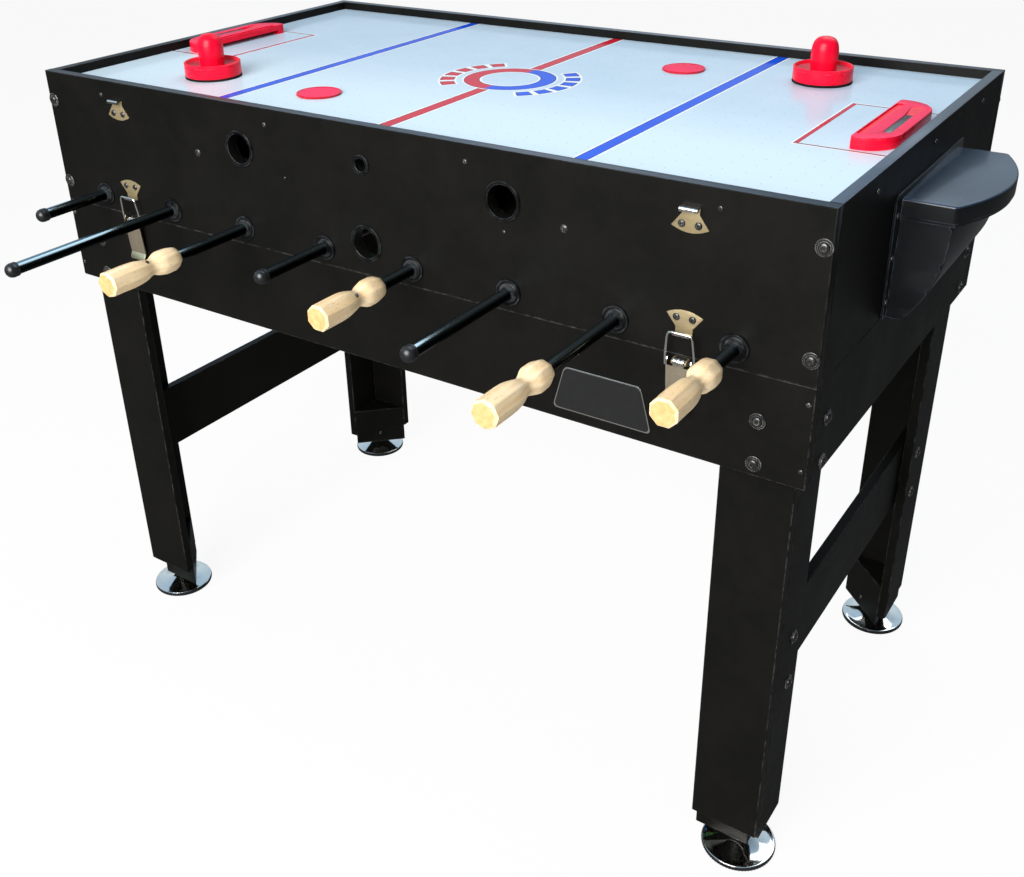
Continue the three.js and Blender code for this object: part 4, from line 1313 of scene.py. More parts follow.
def build_ball_return(right):
    end = "right" if right else "left"
    flange = pierced_plate(
        [
            (-RETURN_FLANGE_BOTTOM, 0.4 * MM),
            (RETURN_FLANGE_BOTTOM, 0.4 * MM),
            (RETURN_FLANGE_TOP - 0.8 * MM, RETURN_FLANGE_HEIGHT - 5 * MM),
            (RETURN_FLANGE_TOP - 5 * MM, RETURN_FLANGE_HEIGHT - 0.4 * MM),
            (5 * MM - RETURN_FLANGE_TOP, RETURN_FLANGE_HEIGHT - 0.4 * MM),
            (0.8 * MM - RETURN_FLANGE_TOP, RETURN_FLANGE_HEIGHT - 5 * MM),
        ],
        [rectangle(
            (-GOAL_HALF_WIDTH, FIELD_HEIGHT - GOAL_HEIGHT),
            (GOAL_HALF_WIDTH, FIELD_HEIGHT),
        )],
        RETURN_WALL,
        0.5 * MM,
    )
    placed(flange, ENDWISE)
    whole = placed(merged(flange, hood_skin(), tray()), end_place(right))
    piece(
        f"{end}_ball_return_moulding",
        whole,
        "game_box",
        [HOOD_PLASTIC, TRAY_TOP_PAINTED_SKY],
        [f"{end}_ball_return"],
        smooth=28,
    )


def goal_loop(inset):
    """The air hockey goal's outline with its back at X zero."""
    half = HOCKEY_GOAL_HALF - inset
    depth = HOCKEY_GOAL_DEPTH - 2 * inset
    bend = [
        *curved((0, -0.62 * half), (-0.04 * depth, -0.77 * half), (-0.3 * depth, -0.9 * half), 6),
        *curved((-0.3 * depth, -0.9 * half), (-0.52 * depth, -half), (-0.86 * depth, -half), 6),
        *curved((-0.86 * depth, -half), (-depth, -half), (-depth, -0.94 * half), 5),
        (-depth, -0.94 * half),
    ]
    return [(x - inset, y) for x, y in [*bend, *[(x, -y) for x, y in reversed(bend)]]]


def build_hockey_goal(right):
    """A red moulding over a puck slot, with a step in front, a dark window and a scoop."""
    end = "right" if right else "left"
    edge = 0.6 * MM
    window_low = (-WINDOW_SETBACK - WINDOW_WIDTH, -WINDOW_SHIFT - WINDOW_HALF)
    window_high = (-WINDOW_SETBACK, WINDOW_HALF - WINDOW_SHIFT)
    scoop_end = window_high[1] + SCOOP_LENGTH
    pocket = rounded_rectangle(window_low, window_high, 4.5 * MM)
    quarter = len(pocket) // 4
    scoop_tip = rounded_rectangle(
        (window_low[0] - SCOOP_FLARE, window_high[1]),
        (window_high[0] + SCOOP_FLARE, scoop_end),
        6 * MM,
    )
    pocket[:2 * quarter] = [
        (window_high[0], window_high[1] - 6 * MM),
        *scoop_tip[:2 * quarter],
        (window_low[0], window_high[1] - 6 * MM),
    ]
    channel_front = CHANNEL_SETBACK - HOCKEY_GOAL_DEPTH
    channel = rectangle(
        (channel_front, -CHANNEL_HALF), (channel_front + CHANNEL_WIDTH, CHANNEL_HALF), -edge,
    )
    step = HOCKEY_GOAL_HEIGHT - CHANNEL_DEPTH
    floor = HOCKEY_GOAL_HEIGHT - WINDOW_DEPTH
    cover = pierced_plate(goal_loop(edge), [pocket, channel], CHANNEL_DEPTH, edge)
    # Upward faces of the cover take the second finish: red painted paler pink as light from above.
    coated(placed(cover, at(0, 0, step)), 1, lambda face: face.normal.z > 0.7)
    middle = pierced_plate(goal_loop(0.1 * MM), [pocket], step - floor, 0.1 * MM)
    placed(middle, at(0, 0, floor))
    body = plate(goal_loop(0), floor - SLOT_HEIGHT)
    placed(body, at(0, 0, SLOT_HEIGHT))
    slope = plate([
        (window_high[1] - MM, floor), (scoop_end, floor), (scoop_end, HOCKEY_GOAL_HEIGHT - 0.2 * MM),
    ], WINDOW_WIDTH + 2 * SCOOP_FLARE)
    placed(slope, at(window_low[0] - SCOOP_FLARE, 0, 0), ENDWISE)
    slot_front = [(-HOCKEY_GOAL_DEPTH, -SLOT_HALF), (-SLOT_BACK_WALL, -SLOT_HALF)]
    slot_back = [(x, -y) for x, y in reversed(slot_front)]
    outer = goal_loop(0)
    half_way = len(outer) // 2
    skirt = plate([*outer[:half_way], *slot_front, *slot_back, *outer[half_way:]], SLOT_HEIGHT)
    back = INNER_HALF_LENGTH - HOCKEY_GOAL_GAP
    if right:
        place = at(back, 0, PARTING + SURFACE_TOP)
    else:
        place = at(-back, 0, PARTING + SURFACE_TOP) @ Matrix.Scale(-1, 4, (1, 0, 0))
    whole = placed(merged(cover, middle, body, slope, skirt), place)
    piece(
        f"{end}_hockey_goal_moulding",
        whole,
        "game_box",
        [RED_PLASTIC, LIT_TOP_RED_PLASTIC],
        [f"{end}_hockey_goal"],
        smooth=30,
    )
    pane_low = (window_low[0] + 0.5 * MM, window_low[1] + 0.5 * MM)
    pane_high = (window_high[0] - 0.5 * MM, window_high[1])
    pane = plate(rounded_rectangle(pane_low, pane_high, 4 * MM), WINDOW_DEPTH - 0.6 * MM)
    softened(pane, 0.6 * MM, 2)
    placed(pane, place, at(0, 0, floor))
    piece(f"{end}_goal_window", pane, "game_box", [SMOKED_WINDOW], smooth=30)


def build_pusher(right):
    """A red pusher: round rim with two grooves, a dish, a rounded grip, and felt below."""
    end = "right" if right else "left"
    low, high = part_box(f"{end}_pusher")
    place = at((low.x + high.x) / 2, (low.y + high.y) / 2, low.z)
    knob_foot = 0.66 * PUSHER_RIM
    rise = PUSHER_HEIGHT - knob_foot
    grip = eased([
        (0.94 * KNOB_RADIUS, knob_foot),
        (0.97 * KNOB_RADIUS, knob_foot + 0.15 * rise),
        (1.0 * KNOB_RADIUS, knob_foot + 0.35 * rise),
        (1.0 * KNOB_RADIUS, knob_foot + 0.55 * rise),
        (0.95 * KNOB_RADIUS, knob_foot + 0.72 * rise),
        (0.8 * KNOB_RADIUS, knob_foot + 0.87 * rise),
        (0.5 * KNOB_RADIUS, knob_foot + 0.965 * rise),
        (0, PUSHER_HEIGHT),
    ], 5)
    dish_in, dish_out = 0.55 * PUSHER_RADIUS, 0.86 * PUSHER_RADIUS
    dish = []
    for ring in range(3, 0, -1):
        outer = dish_in + (dish_out - dish_in) * ring / 3
        inner = dish_in + (dish_out - dish_in) * (ring - 0.55) / 3
        rise_here = knob_foot + 0.09 * PUSHER_RIM * ring / 3
        dish += [
            (outer, rise_here + 0.5 * MM),
            (inner, rise_here + 0.4 * MM),
            (inner - 0.5 * MM, rise_here),
        ]
    rim = [
        (0, FELT_THICKNESS),
        (PUSHER_RADIUS - 2 * MM, FELT_THICKNESS),
        (PUSHER_RADIUS - 0.9 * MM, FELT_THICKNESS + 0.6 * MM),
        (PUSHER_RADIUS - 0.3 * MM, FELT_THICKNESS + 2.2 * MM),
        (PUSHER_RADIUS - 0.6 * MM, PUSHER_RIM - 5.4 * MM),
        (PUSHER_RADIUS - 1.4 * MM, PUSHER_RIM - 5.0 * MM),
        (PUSHER_RADIUS - 1.4 * MM, PUSHER_RIM - 4.4 * MM),
        (PUSHER_RADIUS - 0.5 * MM, PUSHER_RIM - 4.0 * MM),
        (PUSHER_RADIUS - 0.4 * MM, PUSHER_RIM - 1.4 * MM),
        (PUSHER_RADIUS - 1.1 * MM, PUSHER_RIM - 0.4 * MM),
        (PUSHER_RADIUS - 1.9 * MM, PUSHER_RIM),
        (PUSHER_RADIUS - 2.8 * MM, PUSHER_RIM - 0.2 * MM),
        (PUSHER_RADIUS - 3.9 * MM, PUSHER_RIM - 1.6 * MM),
        (PUSHER_RADIUS - 4.9 * MM, PUSHER_RIM - 4.6 * MM),
    ]
    body = turned([*rim, *dish, *grip], 72)
    body.normal_update()
    # The dish's faces take the second finish: the same red painted darker as shade in the dish.
    coated(body, 1, lambda face: (
        face.calc_center_median().xy.length < dish_out + MM
        and FELT_THICKNESS < face.calc_center_median().z < knob_foot + 3 * MM
    ))
    placed(body, place)
    piece(
        f"{end}_pusher_moulding",
        body,
        f"{end}_striker",
        [RED_PLASTIC, SHADED_RED_PLASTIC],
        [f"{end}_pusher"],
        smooth=32,
    )
    pad = turned([
        (0, 0), (PUSHER_RADIUS - 0.6 * MM, 0), (PUSHER_RADIUS - 0.1 * MM, 0.5 * MM),
        (PUSHER_RADIUS - 0.1 * MM, FELT_THICKNESS - 0.4 * MM),
        (PUSHER_RADIUS - 0.5 * MM, FELT_THICKNESS), (0, FELT_THICKNESS),
    ], 72)
    piece(f"{end}_pusher_felt", placed(pad, place), f"{end}_striker", [FELT], smooth=30)


def build_puck(right):
    """A thin disc with a slightly sunk face: its rim painted darker red as shade and its face painted
    paler as light from above.
    """
    end = "right" if right else "left"
    low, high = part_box(f"{end}_puck")
    place = at((low.x + high.x) / 2, (low.y + high.y) / 2, low.z)
    upper = [
        (PUCK_RADIUS, PUCK_THICKNESS / 2),
        (PUCK_RADIUS, PUCK_THICKNESS - 0.7 * MM),
        (PUCK_RADIUS - 0.7 * MM, PUCK_THICKNESS),
        (PUCK_RADIUS - 2.2 * MM, PUCK_THICKNESS),
        (PUCK_RADIUS - 3.2 * MM, PUCK_THICKNESS - 0.6 * MM),
        (0, PUCK_THICKNESS - 0.6 * MM),
    ]
    lower = [(radius, PUCK_THICKNESS - rise) for radius, rise in reversed(upper[1:])]
    disc = turned([*lower, *upper], 72)
    disc.normal_update()
    # Upward faces take the second finish: red painted paler as light from above.
    coated(disc, 1, lambda face: face.normal.z > 0.9)
    placed(disc, place)
    piece(
        f"{end}_puck_moulding",
        disc,
        f"{end}_disc",
        [SHADED_RED_PLASTIC, LIT_TOP_RED_PLASTIC],
        [f"{end}_puck"],
        smooth=30,
    )


# Rods


def man():
    """A plain moulded player, upright, with the rod through its chest along Y."""
    torso = block(
        (-0.62 * MAN_HALF_THICKNESS, -MAN_HALF_WIDTH, -15 * MM),
        (0.62 * MAN_HALF_THICKNESS, MAN_HALF_WIDTH, 15 * MM),
    )
    for vert in torso.verts:
        if vert.co.z < 0:
            vert.co.y *= 0.72
    softened(torso, 3 * MM, 3)
    collar = placed(turned([
        (0, -MAN_HALF_WIDTH), (9.2 * MM, -MAN_HALF_WIDTH), (10 * MM, 0.8 * MM - MAN_HALF_WIDTH),
        (10 * MM, MAN_HALF_WIDTH - 0.8 * MM), (9.2 * MM, MAN_HALF_WIDTH), (0, MAN_HALF_WIDTH),
    ], 24), ALONG_Y)
    neck = turned([(0, 12 * MM), (4 * MM, 12 * MM), (3.6 * MM, 20 * MM), (0, 20 * MM)], 16)
    head = turned(eased([
        (0, 16.5 * MM), (4.5 * MM, 18 * MM), (6.6 * MM, 22.5 * MM), (6.9 * MM, 27 * MM),
        (5 * MM, 31.5 * MM), (0, MAN_HEAD_REACH),
    ], 3), 20)
    legs = block((-5 * MM, -8 * MM, -56 * MM), (5 * MM, 8 * MM, -12 * MM))
    for vert in legs.verts:
        if vert.co.z > -20 * MM:
            vert.co.y *= 1.2
    softened(legs, 2.5 * MM, 3)
    foot = block(
        (-MAN_HALF_THICKNESS, -8.4 * MM, -MAN_REACH),
        (MAN_HALF_THICKNESS, 8.4 * MM, -50 * MM),
    )
    for vert in foot.verts:
        if vert.co.z > -60 * MM:
            vert.co.x *= 0.62
    softened(foot, 1.5 * MM, 2)
    return merged(torso, collar, neck, head, legs, foot)


def handle_form():
    """An eight-sided beech grip with a collar, a waist and chamfered ends, along +Z."""
    swell = HANDLE_RADIUS - HANDLE_WAIST
    body = [
        (0, 0), (0.03, 0.5), (0.09, 0.9), (0.15, 1), (0.24, 1), (0.3, 0.6), (0.36, 0.05),
        (0.41, 0.02), (0.47, 0.4), (0.54, 0.75), (0.64, 0.97), (0.74, 1),
    ]
    shares = [*eased(body, 2), (0.978, 1), (1, 0.55)]
    socket = ROD_RADIUS + CLEARANCE + 0.6 * MM
    outline = [(0, HANDLE_SOCKET), (socket, HANDLE_SOCKET), (socket, 0)]
    outline += [(HANDLE_WAIST + wide * swell, along * HANDLE_LENGTH) for along, wide in shares]
    outline += [(0, HANDLE_LENGTH)]
    form = turned(outline, HANDLE_SIDES)
    long_edges = [
        edge for edge in form.edges
        if abs(edge.verts[0].co.z - edge.verts[1].co.z) > 0.5 * MM
        and min(vert.co.xy.length for vert in edge.verts) > HANDLE_WAIST - 0.5 * MM
    ]
    bevel_edges(form, long_edges, 0.9 * MM, 1)
    return placed(form, turn_about("Z", 180 / HANDLE_SIDES))


def cap_form():
    """A domed rubber cap with a stepped collar, its closed end at Z zero."""
    socket = ROD_RADIUS + CLEARANCE
    tip = [(0, 0), (0.4, 0.045), (0.7, 0.155), (0.9, 0.31), (1, 0.55)]
    outline = [
        *[(wide * CAP_RADIUS, along * CAP_LENGTH) for wide, along in eased(tip, 4)],
        (CAP_RADIUS, 0.68 * CAP_LENGTH),
        (0.95 * CAP_RADIUS, 0.74 * CAP_LENGTH),
        (0.95 * CAP_RADIUS, 0.8 * CAP_LENGTH),
        (0.99 * CAP_RADIUS, 0.84 * CAP_LENGTH),
        (0.98 * CAP_RADIUS, 0.96 * CAP_LENGTH),
        (0.93 * CAP_RADIUS, CAP_LENGTH),
        (socket, CAP_LENGTH),
        (socket, CAP_LENGTH - CAP_SOCKET),
        (0, CAP_LENGTH - CAP_SOCKET),
    ]
    return turned(outline, 40)


def build_rod(index):
    number = index + 1
    men = MEN_OF_RODS[index]
    rod_low, rod_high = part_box(f"rod_{number}")
    handle_low, handle_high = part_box(f"handle_{number}")
    cap_low, cap_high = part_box(f"end_cap_{number}")
    handle_at_back = handle_low.y > cap_low.y
    x = rod_places()[index]
    z = PARTING + ROD_RISE
    out = 1 if handle_at_back else -1
    handle_end = handle_high.y if handle_at_back else handle_low.y
    cap_end = cap_low.y if handle_at_back else cap_high.y
    middle = (handle_end + cap_end - out * (HANDLE_LENGTH - CAP_LENGTH)) / 2
    towards_handle = ALONG_Y if handle_at_back else turn_about("X", 90)
    line = at(x, 0, z)

    length = rod_high.y - rod_low.y
    bar = turned([
        (0, 0), (ROD_RADIUS - 0.6 * MM, 0), (ROD_RADIUS, 0.6 * MM), (ROD_RADIUS, length - 0.6 * MM),
        (ROD_RADIUS - 0.6 * MM, length), (0, length),
    ], SMALL_STEPS)
    placed(bar, line @ at(0, rod_low.y, 0), ALONG_Y)
    piece(
        f"rod_{number}_bar",
        bar,
        f"spindle_{number}",
        [DARK_ROD],
        [f"rod_{number}"],
        smooth=35,
    )
    first = -(men - 1) / 2 * SPACING_OF_MEN[men]
    centres = [middle + first + step * SPACING_OF_MEN[men] for step in range(men)]
    team = repeated(man(), [line @ at(0, y, 0) for y in centres])
    colour = RED_PLASTIC if number in (1, 2, 4, 6) else BLUE_PLASTIC
    piece(f"rod_{number}_men", team, f"spindle_{number}", [colour], smooth=35)
    reach = -first + MAN_HALF_WIDTH
    bumper = turned([
        (ROD_RADIUS, 0), (BUMPER_RADIUS - MM, 0), (BUMPER_RADIUS, MM),
        (BUMPER_RADIUS, 0.4 * BUMPER_LENGTH), (BUMPER_RADIUS - 1.5 * MM, 0.5 * BUMPER_LENGTH),
        (BUMPER_RADIUS, 0.6 * BUMPER_LENGTH), (BUMPER_RADIUS, BUMPER_LENGTH - MM),
        (BUMPER_RADIUS - MM, BUMPER_LENGTH), (ROD_RADIUS, BUMPER_LENGTH), (ROD_RADIUS, 0),
    ], SMALL_STEPS)
    bumpers = repeated(bumper, [
        line @ at(0, middle + reach, 0) @ ALONG_Y,
        line @ at(0, middle - reach - BUMPER_LENGTH, 0) @ ALONG_Y,
    ])
    piece(f"rod_{number}_bumpers", bumpers, f"spindle_{number}", [RUBBER], smooth=35)

    grip_start = handle_end - out * HANDLE_LENGTH
    screw_angle = SCREW_ANGLE_OF_RODS[index]
    grip = handle_form()
    placed(grip, line @ at(0, grip_start, 0), towards_handle, turn_about("Z", screw_angle))
    piece(
        f"handle_{number}_grip",
        grip,
        f"spindle_{number}",
        [BEECH],
        [f"handle_{number}"],
        smooth=20,
    )
    screw_place = line @ at(0, grip_start + out * HANDLE_SCREW_PLACE, 0)
    aside = (math.cos(math.radians(screw_angle)), 0, math.sin(math.radians(screw_angle)))
    screw = placed(small_screw(2.6 * MM), screw_place, facing(aside), at(0, 0, HANDLE_SCREW_REACH))
    piece(
        f"handle_{number}_screw",
        screw,
        f"spindle_{number}",
        [BLACK_SCREW, RECESS_SHADE_AND_BADGE_BLACK],
        smooth=35,
    )
    cap = placed(cap_form(), line @ at(0, cap_end, 0), towards_handle)
    piece(
        f"end_cap_{number}_rubber",
        cap,
        f"carriage_{number}",
        [RUBBER],
        [f"end_cap_{number}"],
        smooth=35,
    )


# Base


def latch_base():
    """The plate on the apron with its two cheeks and the pin between them."""
    low = (-LATCH_PLATE_HALF, -LATCH_PLATE_DROP - LATCH_PLATE_HEIGHT)
    high = (LATCH_PLATE_HALF, -LATCH_PLATE_DROP)
    back = plate(rounded_rectangle(low, high, 1.5 * MM, 4), KEEPER_THICKNESS)
    softened(back, 0.3 * MM, 1, 60)
    placed(back, UPRIGHT)
    cheek_loop = [
        (0, -PIN_DROP - 2 * CHEEK_RADIUS),
        (PIN_PROUD, -PIN_DROP - CHEEK_RADIUS),
        *curved(
            (PIN_PROUD + 0.7 * CHEEK_RADIUS, -PIN_DROP - 0.7 * CHEEK_RADIUS),
            (PIN_PROUD + 1.3 * CHEEK_RADIUS, -PIN_DROP),
            (PIN_PROUD + 0.7 * CHEEK_RADIUS, -PIN_DROP + 0.7 * CHEEK_RADIUS),
            6,
        ),
        (PIN_PROUD, -PIN_DROP + CHEEK_RADIUS),
        (0, -PIN_DROP + CHEEK_RADIUS),
    ]
    cheeks = repeated(
        plate(cheek_loop, CHEEK_THICKNESS),
        [at(start, 0, 0) @ ENDWISE for start in (-LATCH_PLATE_HALF, BARREL_HALF + CLEARANCE)],
    )
    reach = LATCH_PLATE_HALF - 0.5 * MM
    pin = turned([
        (0, -reach), (PIN_RADIUS, -reach), (PIN_RADIUS, reach), (0, reach),
    ], 20)
    placed(pin, at(0, PIN_PROUD, -PIN_DROP), ALONG_X)
    # The back plate takes the darker nickel as painted shade from the lever.
    return merged(coated(back, 1), cheeks, pin)


def build_apron(front):
    side = "front" if front else "back"
    place = side_place(front)
    board = block((-HALF_LENGTH, -BOARD, -APRON_HEIGHT), (HALF_LENGTH, 0, 0))
    softened(board, EDGE_SOFTENING, 2)
    piece(
        f"{side}_apron_board",
        placed(board, place),
        "base",
        [BLACK_LAMINATE],
        [f"{side}_apron"],
    )
    bases = repeated(latch_base(), [place @ at(sign * LATCH_OFFSET, 0, 0) for sign in (-1, 1)])
    piece(f"{side}_latch_bases", bases, "base", [CHAMPAGNE, SHADED_BASE_NICKEL], smooth=30)
    bolts = screws_at(
        washer_bolt(),
        (0, 1, 0),
        [(x, 0, z) for x in (-548 * MM, 548 * MM) for z in (-57 * MM, -112 * MM)],
    )
    screws = screws_at(
        small_screw(3.4 * MM),
        (0, 1, 0),
        [(x, 0, z) for x in (-603 * MM, 603 * MM) for z in (-21 * MM, -105 * MM)],
    )
    piece(
        f"{side}_apron_fasteners",
        placed(merged(bolts, screws), place),
        "base",
        [BLACK_SCREW, RECESS_SHADE_AND_BADGE_BLACK],
        smooth=35,
    )


def build_badge():
    """A bare plate with a light outline on the front apron."""
    middle = 351.5 * MM
    bottom, top = PARTING - 114 * MM, PARTING - 55 * MM
    half_bottom, half_top = 68 * MM, 52 * MM

    def outline(inset):
        loop = rounded_rectangle(
            (inset - half_bottom, bottom + inset), (half_bottom - inset, top - inset), 7 * MM,
        )
        narrower = (half_bottom - half_top) / half_bottom
        return [
            (middle + x * (1 - narrower * (z - bottom) / (top - bottom)), z) for x, z in loop
        ]

    frame_plate = softened(plate(outline(0), 0.8 * MM), 0.25 * MM)
    face = softened(plate(outline(1.6 * MM), 0.5 * MM), 0.2 * MM)
    placed(face, at(0, 0, 0.6 * MM))
    coated(face, 1)
    place = at(0, -HALF_WIDTH, 0) @ Matrix.Scale(-1, 4, (0, 1, 0)) @ UPRIGHT
    whole = placed(merged(frame_plate, face), place)
    piece("badge_plate", whole, "base", [BRIGHT_NICKEL, RECESS_SHADE_AND_BADGE_BLACK])


def build_end_apron(right):
    end = "right" if right else "left"
    place = end_place(right)
    board = block((-BOARD, -INNER_HALF_WIDTH, -APRON_HEIGHT), (0, INNER_HALF_WIDTH, 0))
    softened(board, EDGE_SOFTENING, 2)
    piece(
        f"{end}_apron_board",
        placed(board, place),
        "base",
        [BLACK_LAMINATE],
        [f"{end}_apron"],
    )
    bolts = screws_at(
        washer_bolt(),
        (1, 0, 0),
        [(0, y, z) for y in (-293 * MM, 293 * MM) for z in (-57 * MM, -114 * MM)],
    )
    piece(
        f"{end}_apron_fasteners",
        placed(bolts, place),
        "base",
        [BLACK_SCREW, RECESS_SHADE_AND_BADGE_BLACK],
        smooth=35,
    )
    face = INNER_HALF_LENGTH - BOARD
    stretcher = block(
        (face - BOARD, BOARD - INNER_HALF_WIDTH, STRETCHER_LIFT),
        (face, INNER_HALF_WIDTH - BOARD, STRETCHER_LIFT + STRETCHER_HEIGHT),
    )
    softened(stretcher, EDGE_SOFTENING, 2)
    if not right:
        placed(stretcher, turn_about("Z", 180))
    piece(
        f"{end}_stretcher_board",
        stretcher,
        "base",
        [BLACK_LAMINATE],
        [f"{end}_stretcher"],
    )


def leg_form():
    """Two boards in an L with a block in the foot, the outer corner at X and Y zero."""
    top = PARTING - LEG_TOP_DROP
    front_board = block(
        (-LEG_FRONT_WIDTH, 0, FOOT_HEIGHT + FRONT_BOARD_STEP),
        (0, BOARD, top),
    )
    side_board = block(
        (-BOARD, BOARD, FOOT_HEIGHT + SIDE_BOARD_STEP),
        (0, LEG_SIDE_DEPTH, top),
    )
    corner = plate([
        (-LEG_FRONT_WIDTH + MM, BOARD),
        (-BOARD, BOARD),
        (-BOARD, LEG_SIDE_DEPTH - MM),
    ], FOOT_BLOCK_HEIGHT)
    placed(corner, at(0, 0, FOOT_HEIGHT))
    for board in (front_board, side_board, corner):
        softened(board, EDGE_SOFTENING, 2)
    return merged(front_board, side_board, corner)


def leg_screws():
    """Stretcher bolts through the side board and a screw in the foot block's long face."""
    bolts = screws_at(
        washer_bolt(),
        (1, 0, 0),
        [(0, 61 * MM, 364 * MM), (0, 61 * MM, 290 * MM)],
    )
    middle = ((-LEG_FRONT_WIDTH - BOARD) / 2, (LEG_SIDE_DEPTH + BOARD) / 2, FOOT_HEIGHT + 22 * MM)
    block_screw = screws_at(small_screw(3.8 * MM), (-1, 1, 0), [middle])
    return merged(bolts, block_screw)


def foot_form():
    """A bright cone over a ribbed dark pad, with a nut and a threaded stem."""
    cone_height = FOOT_HEIGHT - PAD_THICKNESS - NECK_HEIGHT
    pad = turned([
        (0, 0), (PAD_RADIUS - 2.2 * MM, 0), (PAD_RADIUS - 0.6 * MM, 0.8 * MM),
        (PAD_RADIUS - 0.2 * MM, 2 * MM), (PAD_RADIUS, PAD_THICKNESS - 2 * MM),
        (PAD_RADIUS - 0.4 * MM, PAD_THICKNESS - 0.6 * MM), (PAD_RADIUS - 1.5 * MM, PAD_THICKNESS),
        (0, PAD_THICKNESS),
    ], 2 * PAD_RIBS)
    for vert in pad.verts:
        reach = vert.co.xy.length
        if PAD_RADIUS - 0.7 * MM < reach:
            step = round(math.atan2(vert.co.y, vert.co.x) / math.pi * PAD_RIBS)
            if step % 2:
                vert.co.xy *= 1 - RIB_DEPTH / reach
    slope = eased([
        (PAD_RADIUS - 1.2 * MM, PAD_THICKNESS), (PAD_RADIUS - 1.8 * MM, PAD_THICKNESS + 0.9 * MM),
        (0.82 * PAD_RADIUS, PAD_THICKNESS + 0.16 * cone_height),
        (0.62 * PAD_RADIUS, PAD_THICKNESS + 0.38 * cone_height),
        (0.44 * PAD_RADIUS, PAD_THICKNESS + 0.64 * cone_height),
        (0.3 * PAD_RADIUS, PAD_THICKNESS + 0.9 * cone_height),
        (NECK_RADIUS, PAD_THICKNESS + cone_height),
    ], 5)
    cone = turned([(0, PAD_THICKNESS), *slope, (0, PAD_THICKNESS + cone_height)], 96)
    nut = turned([
        (0, PAD_THICKNESS + cone_height - MM), (NECK_RADIUS, PAD_THICKNESS + cone_height - MM),
        (NECK_RADIUS, FOOT_HEIGHT - 1.2 * MM), (NECK_RADIUS - 1.2 * MM, FOOT_HEIGHT - CLEARANCE),
        (0, FOOT_HEIGHT - CLEARANCE),
    ], 6)
    thread = [(0, FOOT_HEIGHT - MM)]
    turns = 30
    for step in range(turns + 1):
        rise = FOOT_HEIGHT - MM + step * (STEM_LENGTH + MM) / turns
        thread.append((STEM_RADIUS - (0.5 * MM if step % 2 else 0), rise))
    thread.append((0, FOOT_HEIGHT + STEM_LENGTH))
    return merged(cone, nut, turned(thread, 24), coated(pad, 1))


def build_corner(front, right):
    name = f"{'front' if front else 'back'}_{'right' if right else 'left'}"
    across = 1 if right else -1
    along = 1 if front else -1
    outer = at(across * INNER_HALF_LENGTH, -along * INNER_HALF_WIDTH, 0)
    mirrored = outer @ Matrix.Diagonal((across, along, 1, 1))
    piece(
        f"{name}_leg_boards",
        placed(leg_form(), mirrored),
        "base",
        [BLACK_LAMINATE],
        [f"{name}_leg"],
    )
    piece(
        f"{name}_leg_fasteners",
        placed(leg_screws(), mirrored),
        "base",
        [BLACK_SCREW, RECESS_SHADE_AND_BADGE_BLACK],
        smooth=35,
    )
    place = outer @ at(-across * FOOT_INSET, along * FOOT_INSET, 0)
    piece(
        f"{name}_levelling_foot",
        placed(foot_form(), place),
        f"{name}_leveller",
        [CHROME, RUBBER],
        [f"{name}_foot"],
        smooth=35,
    )


# Latches


